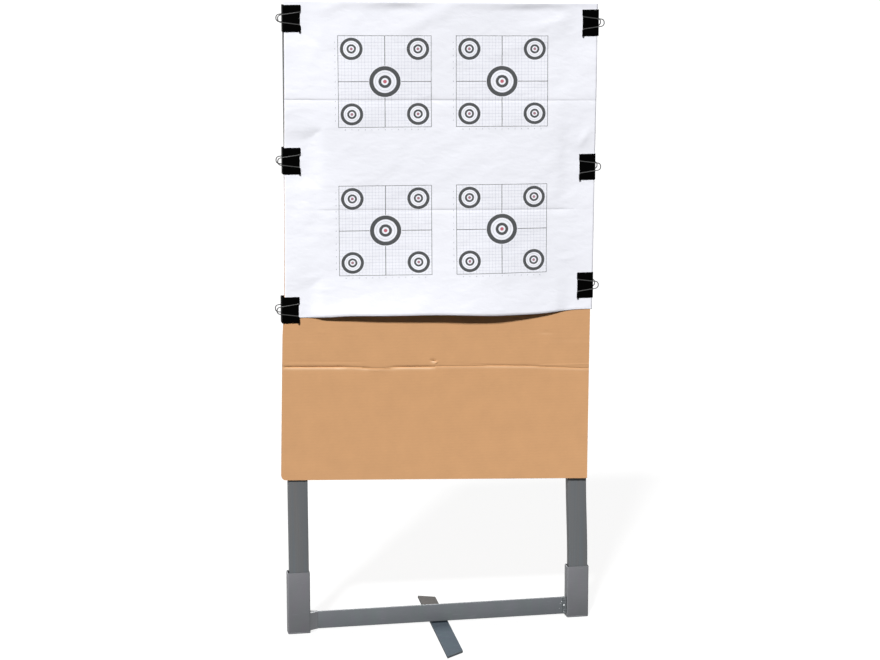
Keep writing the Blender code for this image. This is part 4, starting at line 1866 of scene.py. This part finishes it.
    def forward(self, across: Array, drop: Array) -> Array:
        """Return how far the sheet stands off the board at each place.

        Args:
            across: how far right of the sheet's middle.
            drop: how far below its top fold.

        Returns:
            The distances towards the viewer.
        """
        levels = [level for level, _ in self.stand_offs]
        at_drop = np.clip(drop / MM, levels[0], levels[-1])
        total = np.zeros(across.shape)
        for index, (_, heights) in enumerate(self.stand_offs):
            weight = smooth_curve(at_drop, levels, np.eye(len(levels))[index])
            total = total + weight * smooth_curve(across / MM, self.places, heights) * MM
        lip = np.clip(1 - (self.foot_drop(across) - drop) / self.lip_height, 0, 1) * self.lip
        shares = smooth_curve(across / MM, self.roll_places, self.roll_shares)
        total = total - lip + self.roll * shares * np.exp(-((drop / self.roll_height) ** 2))
        for fold in (self.upper, self.lower):
            total = total + fold.relief(across, drop)
        for mark in self.marks():
            total = total + mark.relief(across, -drop)
        total = total + self.crumples(across, drop)
        return np.maximum(total, 0) * self.slack(across, drop)

    def crumples(self, across: Array, drop: Array) -> Array:
        """Work out the small uneven ripples that handled paper keeps: longer ones, and fine ones.

        Each kind is given by its pace across, its slant, its pace down, its start and its share.

        Args:
            across: how far right of the sheet's middle.
            drop: how far below its top fold.

        Returns:
            The ripples' heights.
        """
        flat = np.empty(across.shape)
        for index in np.ndindex(across.shape):
            x, d = float(across[index]), float(drop[index])
            flat[index] = sum(noise.noise(Vector((x * pace + d * slant, d * fall, start))) * share
                              for pace, slant, fall, start, share in self.ripples)
        return flat * self.crumple

    def slack(self, across: Array, drop: Array) -> Array:
        """Work out where the sheet is free of the clips.

        Args:
            across: how far right of the sheet's middle.
            drop: how far below its top fold.

        Returns:
            0 where a clip presses the sheet flat, rising to 1 away from the clips.
        """
        free = np.ones(across.shape)
        for side, node in clip_nodes():
            low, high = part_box(node)
            level = self.hang.middle + self.hang.height / 2 - (low.z + high.z) / 2
            beside = np.abs(drop - level) / ((high.z - low.z) / 2 + self.clip_room[1])
            edge = (self.width / 2 - side.value * across) / (self.grip + self.clip_room[0])
            held = np.clip((np.maximum(beside, edge) - 1.0) / self.clip_reach, 0, 1)
            free = free * held * held * (3 - 2 * held)
        return free

    def foot_drop(self, across: Array) -> Array:
        """Return the drop of the sheet's lower edge at each place across."""
        return self.drop + smooth_curve(across / MM, self.foot_places, self.foot_drops) * MM

    def surface(self, across: Array, drop: Array, lift: float = 0.0) -> Array:
        """Return points on the front of the sheet.

        Args:
            across: how far right of the sheet's middle.
            drop: how far below its top fold.
            lift: how far in front of the paper's middle the points lie.

        Returns:
            One row of x, y and z for each point, in the stand's frame.
        """
        depth = self.front - self.forward(across, drop) - lift
        x = self.shift + across + drop * math.tan(self.skew)
        return self.hang.place(x, depth, self.top - drop)

    @property
    def front(self) -> float:
        """The y of the middle of the paper where it lies flat on the board."""
        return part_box("backer_board")[0].y - self.seat - self.thickness / 2

    @property
    def top(self) -> float:
        """The height of the top fold above the board's middle."""
        return self.hang.height / 2 + self.seat + self.thickness / 2

    def sheet(self) -> Object:
        """Make the sheet: its hem behind the board, the turn over the top and the printed front.

        Returns:
            The sheet, mapped in metres from the middle of its top fold.
        """
        across = np.linspace(-self.width / 2, self.width / 2, self.columns + 1)
        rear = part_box("backer_board")[1].y + self.seat + self.thickness / 2
        bend = self.turn_radius
        span = rear - self.front
        rows, flat = [], []

        def add_row(depth: float | Array, up: float, mapped: float) -> None:
            """Add a row behind the board or in the turn.

            Args:
                depth: the y of its points.
                up: how far above the board's middle they lie.
                mapped: how far up the flat sheet they lie.
            """
            level = np.full(across.shape, up)
            rows.append(self.hang.place(self.shift + across, np.broadcast_to(depth, across.shape), level))
            flat.append(mapped)

        for step in np.linspace(self.hem, bend * self.hem_start, self.hem_rows):
            add_row(rear, self.top - step, span + step)
        front = self.front - self.forward(across, np.zeros(across.shape))
        for centre, start, mapped in ((rear - bend, 0, span / 2 + bend), (front + bend, 90, bend)):
            for angle in self.turn_rows:
                turn = math.radians(start + angle)
                add_row(centre + bend * math.cos(turn), self.top - bend + bend * math.sin(turn), mapped)
        for place in self.front_rows():
            drop = self.row_drop(place, across)
            rows.append(self.surface(across, drop))
            flat.append(-drop)
        piece = mesh_piece("target_sheet_paper", np.concatenate(rows),
                           [face[::-1] for face in grid_faces(len(rows), len(across))])
        up = np.concatenate([np.broadcast_to(value, across.shape) for value in flat])
        map_flat(piece, np.tile(across, len(rows)), up)
        with editing(piece):
            bpy.ops.mesh.normals_make_consistent(inside=False)
        apply_modifier(piece, "SOLIDIFY", thickness=self.thickness, offset=0.0)
        alone(piece)
        bpy.ops.object.shade_smooth()
        return piece

    def front_rows(self) -> Array:
        """Place the rows of the printed front, close together at its top, its folds and its foot.

        Returns:
            The rows' drops at the sheet's middle.
        """
        foot = self.drop - np.array(self.foot_rows) * MM
        close = np.array(self.fold_rows) * MM
        places = np.concatenate([np.arange(1 * MM, self.top_reach, self.top_step),
                                 np.arange(self.top_reach, foot[0], self.row),
                                 self.upper.drop + close, self.lower.drop + close, foot])
        kept = [0.0]
        for place in np.unique(np.round(places, DIGITS)):
            if place - kept[-1] > self.least_row:
                kept.append(place)
        return np.array(kept[1:])

    def row_drop(self, place: float, across: Array) -> Array:
        """Lead a row along the folds, or along the foot where it is near.

        Args:
            place: the row's drop at the sheet's middle.
            across: how far right of the sheet's middle.

        Returns:
            The row's drop at each distance.
        """
        stops = (0.0, self.upper.drop, self.lower.drop, self.drop)
        falls = (0.0, self.upper.fall, self.lower.fall, 0.0)
        share = max(place - self.lower.drop, 0.0) / (self.drop - self.lower.drop)
        ending = self.foot_drop(across) - self.drop
        return place + across * np.interp(place, stops, falls) + ending * share

    def numbers(self) -> Object:
        """Print plain numbers beside and below each grid, counted from its middle line.

        Returns:
            The numbers as one piece, laid on the sheet.
        """
        grid = PrintedGrid()
        made = []
        for sign_x in (-1, 1):
            for sign_y in (-1, 1):
                middle_x = sign_x * grid.spacing_across / 2
                middle_y = -sign_y * grid.spacing_down / 2
                left = middle_x - grid.half * grid.unit_across - self.number_left
                low = middle_y - grid.half * grid.unit_down - self.number_below
                for count in self.counts:
                    beside = (left, middle_y + count * grid.unit_down)
                    below = (middle_x + count * grid.unit_across, low)
                    made += [self.number(abs(count), grid.askew(*spot)) for spot in (beside, below)]
        numbers = join(made, "grid_numbers")
        points = np.empty(len(numbers.data.vertices) * 3)
        numbers.data.vertices.foreach_get("co", points)
        points = points.reshape(-1, 3)
        placed = self.surface(points[:, 0], -points[:, 1], self.thickness / 2 + self.number_lift)
        placed[:, 1] -= points[:, 2]
        numbers.data.vertices.foreach_set("co", placed.ravel())
        numbers.data.update()
        return numbers

    def number(self, value: int, place: Pair) -> Object:
        """Make one small number, flat in the sheet's own metres.

        Args:
            value: the number.
            place: its middle on the sheet.

        Returns:
            The number's mesh.
        """
        bpy.ops.object.select_all(action="DESELECT")
        bpy.ops.object.text_add(location=(*place, 0))
        text = bpy.context.active_object
        for name, setting in (("body", str(value)), ("size", self.number_size), ("align_x", "CENTER"),
                              ("align_y", "CENTER"), ("extrude", self.ink_thickness), ("resolution_u", 2)):
            setattr(text.data, name, setting)
        alone(text)
        bpy.ops.object.convert(target="MESH")
        settle(text)
        return text


@dataclass
class BinderClips:
    """Six large binder clips: each a sprung steel body and two wire handles."""

    steel: float = 0.6 * MM
    curl_inside: float = 1.3 * MM
    corner: float = 1.8 * MM
    notch: float = 27 * MM
    lip_rise: float = 0.15 * MM
    sweep: float = math.radians(300)
    wire: float = 2.0 * MM
    reach: float = 42.5 * MM
    mouth: float = 23.6 * MM
    tip: float = 12.4 * MM
    tip_radius: float = 6.2 * MM
    bend: float = 1.6 * MM
    hook: float = 9.5 * MM
    edge: float = 0.12 * MM
    corner_steps: int = 6
    curl_steps: int = 24
    bend_steps: int = 8
    enamel: Finish = ClipEnamel("black_clip_enamel", "#040404", 0.5)
    nickel: Finish = NickelWire("black_nickel_wire", "#4A4A4A", 0.35, metallic=1.0)

    def build(self) -> None:
        """Make and dress every clip."""
        enamel = self.enamel.build()
        nickel = self.nickel.build()
        for side, node in clip_nodes():
            body = self.body(node, side)
            mount(body, enamel, node, "clip_black", node)
            for face in Face:
                handle_node = node.replace("clip", "handle") + f"_{face.word}"
                handle = self.handle(handle_node, node, side, face)
                mount(handle, nickel, handle_node, "wire", handle_node)

    @property
    def midline(self) -> float:
        """The radius of a rolled edge to the middle of its steel."""
        return self.curl_inside + self.steel / 2

    def spine(self, node: str, side: Side) -> Vector:
        """Return the middle of the clip's back, on its outer face."""
        low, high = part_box(node)
        return Vector((low.x if side is Side.LEFT else high.x, (low.y + high.y) / 2, (low.z + high.z) / 2))

    def face_offset(self, node: str) -> float:
        """Return how far each face's midline lies from the clip's middle plane."""
        low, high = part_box(node)
        return (high.y - low.y) / 2 - 2 * self.midline - self.steel / 2

    def hinge(self, node: str) -> float:
        """Return how far the middle of the rolled edges lies from the clip's back."""
        low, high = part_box(node)
        return high.x - low.x - self.curl_inside - self.steel

    def profile(self, node: str) -> list[Vector]:
        """Follow the bent steel from one rolled edge round the back to the other.

        Args:
            node: the clip's CAD node.

        Returns:
            The points of its midline, with the back at x 0 and the mouth towards +X.
        """
        face = self.face_offset(node)
        turn = self.corner - self.steel / 2
        back = self.steel / 2
        half = [Vector((back, 0, 0)), Vector((back, face - turn, 0))]
        for step in range(1, self.corner_steps + 1):
            angle = math.pi / 2 * step / self.corner_steps
            half.append(
                Vector((back + turn - turn * math.cos(angle), face - turn + turn * math.sin(angle), 0)))
        curl_x = self.hinge(node)
        half.append(Vector((curl_x, face, 0)))
        for step in range(1, self.curl_steps + 1):
            angle = self.sweep * step / self.curl_steps
            half.append(Vector((curl_x + self.midline * math.sin(angle),
                                face + self.midline * (1 - math.cos(angle)), 0)))
        mirrored = [Vector((point.x, -point.y, 0)) for point in half[:0:-1]]
        return mirrored + half

    def body(self, node: str, side: Side) -> Object:
        """Bend a strip of steel to the profile, notch its rolled edges and give it its thickness.

        Args:
            node: the clip's CAD node.
            side: the side of the stand that the clip is on.

        Returns:
            The clip's body, in its place.
        """
        low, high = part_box(node)
        tall = high.z - low.z
        points = self.profile(node)
        mesh = bpy.data.meshes.new(f"{node}_steel")
        edges = [(index, index + 1) for index in range(len(points) - 1)]
        mesh.from_pydata([point - Vector((0, 0, tall / 2)) for point in points], edges, [])
        body = into_scene(f"{node}_steel", mesh)
        lip = self.face_offset(node) + self.lip_rise
        with editing(body):
            bpy.ops.mesh.extrude_region_move(TRANSFORM_OT_translate={"value": (0, 0, tall)})
            for level in (-self.notch / 2, self.notch / 2):
                bpy.ops.mesh.select_all(action="SELECT")
                bpy.ops.mesh.bisect(plane_co=(0, 0, level), plane_no=(0, 0, 1))
            pick(body, Domain.FACE, lambda at, _: abs(at.z) < self.notch / 2 and abs(at.y) > lip)
            bpy.ops.mesh.delete(type="FACE")
        apply_modifier(body, "SOLIDIFY", thickness=self.steel, offset=0.0, use_even_offset=True)
        apply_modifier(
            body, "BEVEL", width=self.edge, segments=2, limit_method="ANGLE", angle_limit=math.radians(50))
        body.location = self.spine(node, side)
        body.rotation_euler.z = 0 if side is Side.LEFT else math.pi
        settle(body)
        soften(body, math.radians(40))
        return body

    def handle(self, name: str, node: str, side: Side, face: Face) -> Object:
        """Bend one wire handle: hooks inside the rolled edges, legs drawn in to a round tip.

        Args:
            name: the handle's CAD node.
            node: its clip's CAD node.
            side: the side of the stand that the clip is on.
            face: which face of the clip it lies on.

        Returns:
            The handle, lying back over its clip's face.
        """
        tip_x = self.reach - self.wire / 2
        hook_end = self.notch / 2 + self.hook
        corners = [Vector((0, hook_end)), Vector((0, self.mouth / 2)), Vector((tip_x, self.tip / 2)),
                   Vector((tip_x, -self.tip / 2)), Vector((0, -self.mouth / 2)), Vector((0, -hook_end))]
        radii = (self.bend, self.tip_radius, self.tip_radius, self.bend)
        path = [corners[0]]
        for before, corner, after, radius in zip(corners, corners[1:], corners[2:], radii):
            path += self.rounded(before, corner, after, radius)
        path.append(corners[-1])
        curve = bpy.data.curves.new(f"{name}_wire", "CURVE")
        curve.dimensions = "3D"
        curve.bevel_depth = self.wire / 2
        curve.bevel_resolution = 4
        curve.use_fill_caps = True
        spline = curve.splines.new("POLY")
        spline.points.add(len(path) - 1)
        for target, point in zip(spline.points, path):
            target.co = (point.x, 0, point.y, 1)
        handle = into_scene(f"{name}_wire", curve)
        alone(handle)
        bpy.ops.object.convert(target="MESH")
        spine = self.spine(node, side)
        handle.location = (spine.x - side.value * self.hinge(node),
                           spine.y + face.value * (self.face_offset(node) + self.midline), spine.z)
        handle.rotation_euler.z = math.pi if side is Side.LEFT else 0
        settle(handle)
        soften(handle, math.radians(60))
        return handle

    def rounded(self, before: Vector, corner: Vector, after: Vector, radius: float) -> list[Vector]:
        """Round one corner of a flat path.

        Args:
            before: the path's corner before it.
            corner: the corner.
            after: the path's corner after it.
            radius: the radius to the wire's middle.

        Returns:
            The points of the arc.
        """
        first = (before - corner).normalized()
        second = (after - corner).normalized()
        half = first.angle(second) / 2
        start = corner + first * (radius / math.tan(half))
        end = corner + second * (radius / math.tan(half))
        centre = corner + (first + second).normalized() * (radius / math.sin(half))
        arms = [(start - centre).lerp(end - centre, step / self.bend_steps).normalized()
                for step in range(self.bend_steps + 1)]
        return [centre + arm * radius for arm in arms]


@dataclass
class Studio:
    """The floor, the lamps, the world and the camera."""

    camera_at: Triple = (-0.8189, -4.2736, 1.4288)
    camera_pitch: float = math.radians(9.701)
    camera_yaw: float = math.radians(10.873)
    lens: float = 92.58
    shift_up: float = -0.05
    sight: float = 200.0
    key_strength: float = 4.6
    key_azimuth: float = math.radians(25)
    key_elevation: float = math.radians(44)
    key_spread: float = math.radians(7)
    back_strength: float = 1.6
    back_azimuths: Pair = (math.radians(-172), math.radians(166))
    back_elevation: float = math.radians(38)
    back_spread: float = math.radians(30)
    lamp_distance: float = 3.0
    fill: float = 0.04
    floor_size: float = 80.0
    floor: Finish = StudioFloor("studio_floor", "#F4F4F4", 0.9)

    def build(self) -> None:
        """Set up the studio."""
        floor = add_primitive(Primitive.PLANE, "studio_floor", size=self.floor_size)
        dress(floor, self.floor.build())
        self.lamp("key_lamp", self.key_strength, -self.key_azimuth, self.key_elevation, self.key_spread)
        for side, azimuth in zip(Side, self.back_azimuths):
            self.lamp(f"back_lamp_{side.word}", self.back_strength, azimuth, self.back_elevation,
                      self.back_spread)
        self.world()
        self.camera()
        bpy.context.scene.view_settings.view_transform = "Standard"

    def lamp(self, name: str, strength: float, azimuth: float, elevation: float, spread: float) -> None:
        """Add a distant lamp.

        Args:
            name: the lamp's name.
            strength: its strength square on.
            azimuth: where it stands, from the front towards +X.
            elevation: its height above the horizon.
            spread: how wide it looks from the stand, which softens its shadows.
        """
        data = bpy.data.lights.new(name, "SUN")
        data.energy = strength
        data.angle = spread
        lamp = into_scene(name, data)
        towards = Vector((math.sin(azimuth) * math.cos(elevation), -math.cos(azimuth) * math.cos(elevation),
                          math.sin(elevation)))
        lamp.rotation_euler = towards.to_track_quat("Z", "Y").to_euler()
        lamp.location = towards * self.lamp_distance

    def world(self) -> None:
        """Show white behind everything and in reflections, and light the stand with a little of it."""
        world = bpy.data.worlds.new("studio_world")
        bpy.context.scene.world = world
        world.use_nodes = True
        tree = world.node_tree
        level = add_node(tree, "MapRange", {"Value": shown_rays(tree), "To Min": self.fill})
        feed(tree.nodes["Background"], {"Color": WHITE, "Strength": level})

    def camera(self) -> None:
        """Put the camera where the photograph was taken from."""
        data = bpy.data.cameras.new("photo_camera")
        data.lens = self.lens
        data.shift_y = self.shift_up
        data.clip_end = self.sight
        camera = into_scene("photo_camera", data)
        camera.location = self.camera_at
        camera.rotation_euler = (math.pi / 2 - self.camera_pitch, 0, -self.camera_yaw)
        bpy.context.scene.camera = camera


def main() -> None:
    """Build the looks of the stand."""
    logging.basicConfig(level=logging.INFO, format="%(name)s: %(message)s")
    noise.seed_set(SEED)
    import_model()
    Studio().build()
    SteelBase().build()
    Uprights().build()
    hang = Hang()
    Backer(hang).build()
    TargetSheet(hang).build()
    BinderClips().build()


if __name__ == "__main__":
    main()
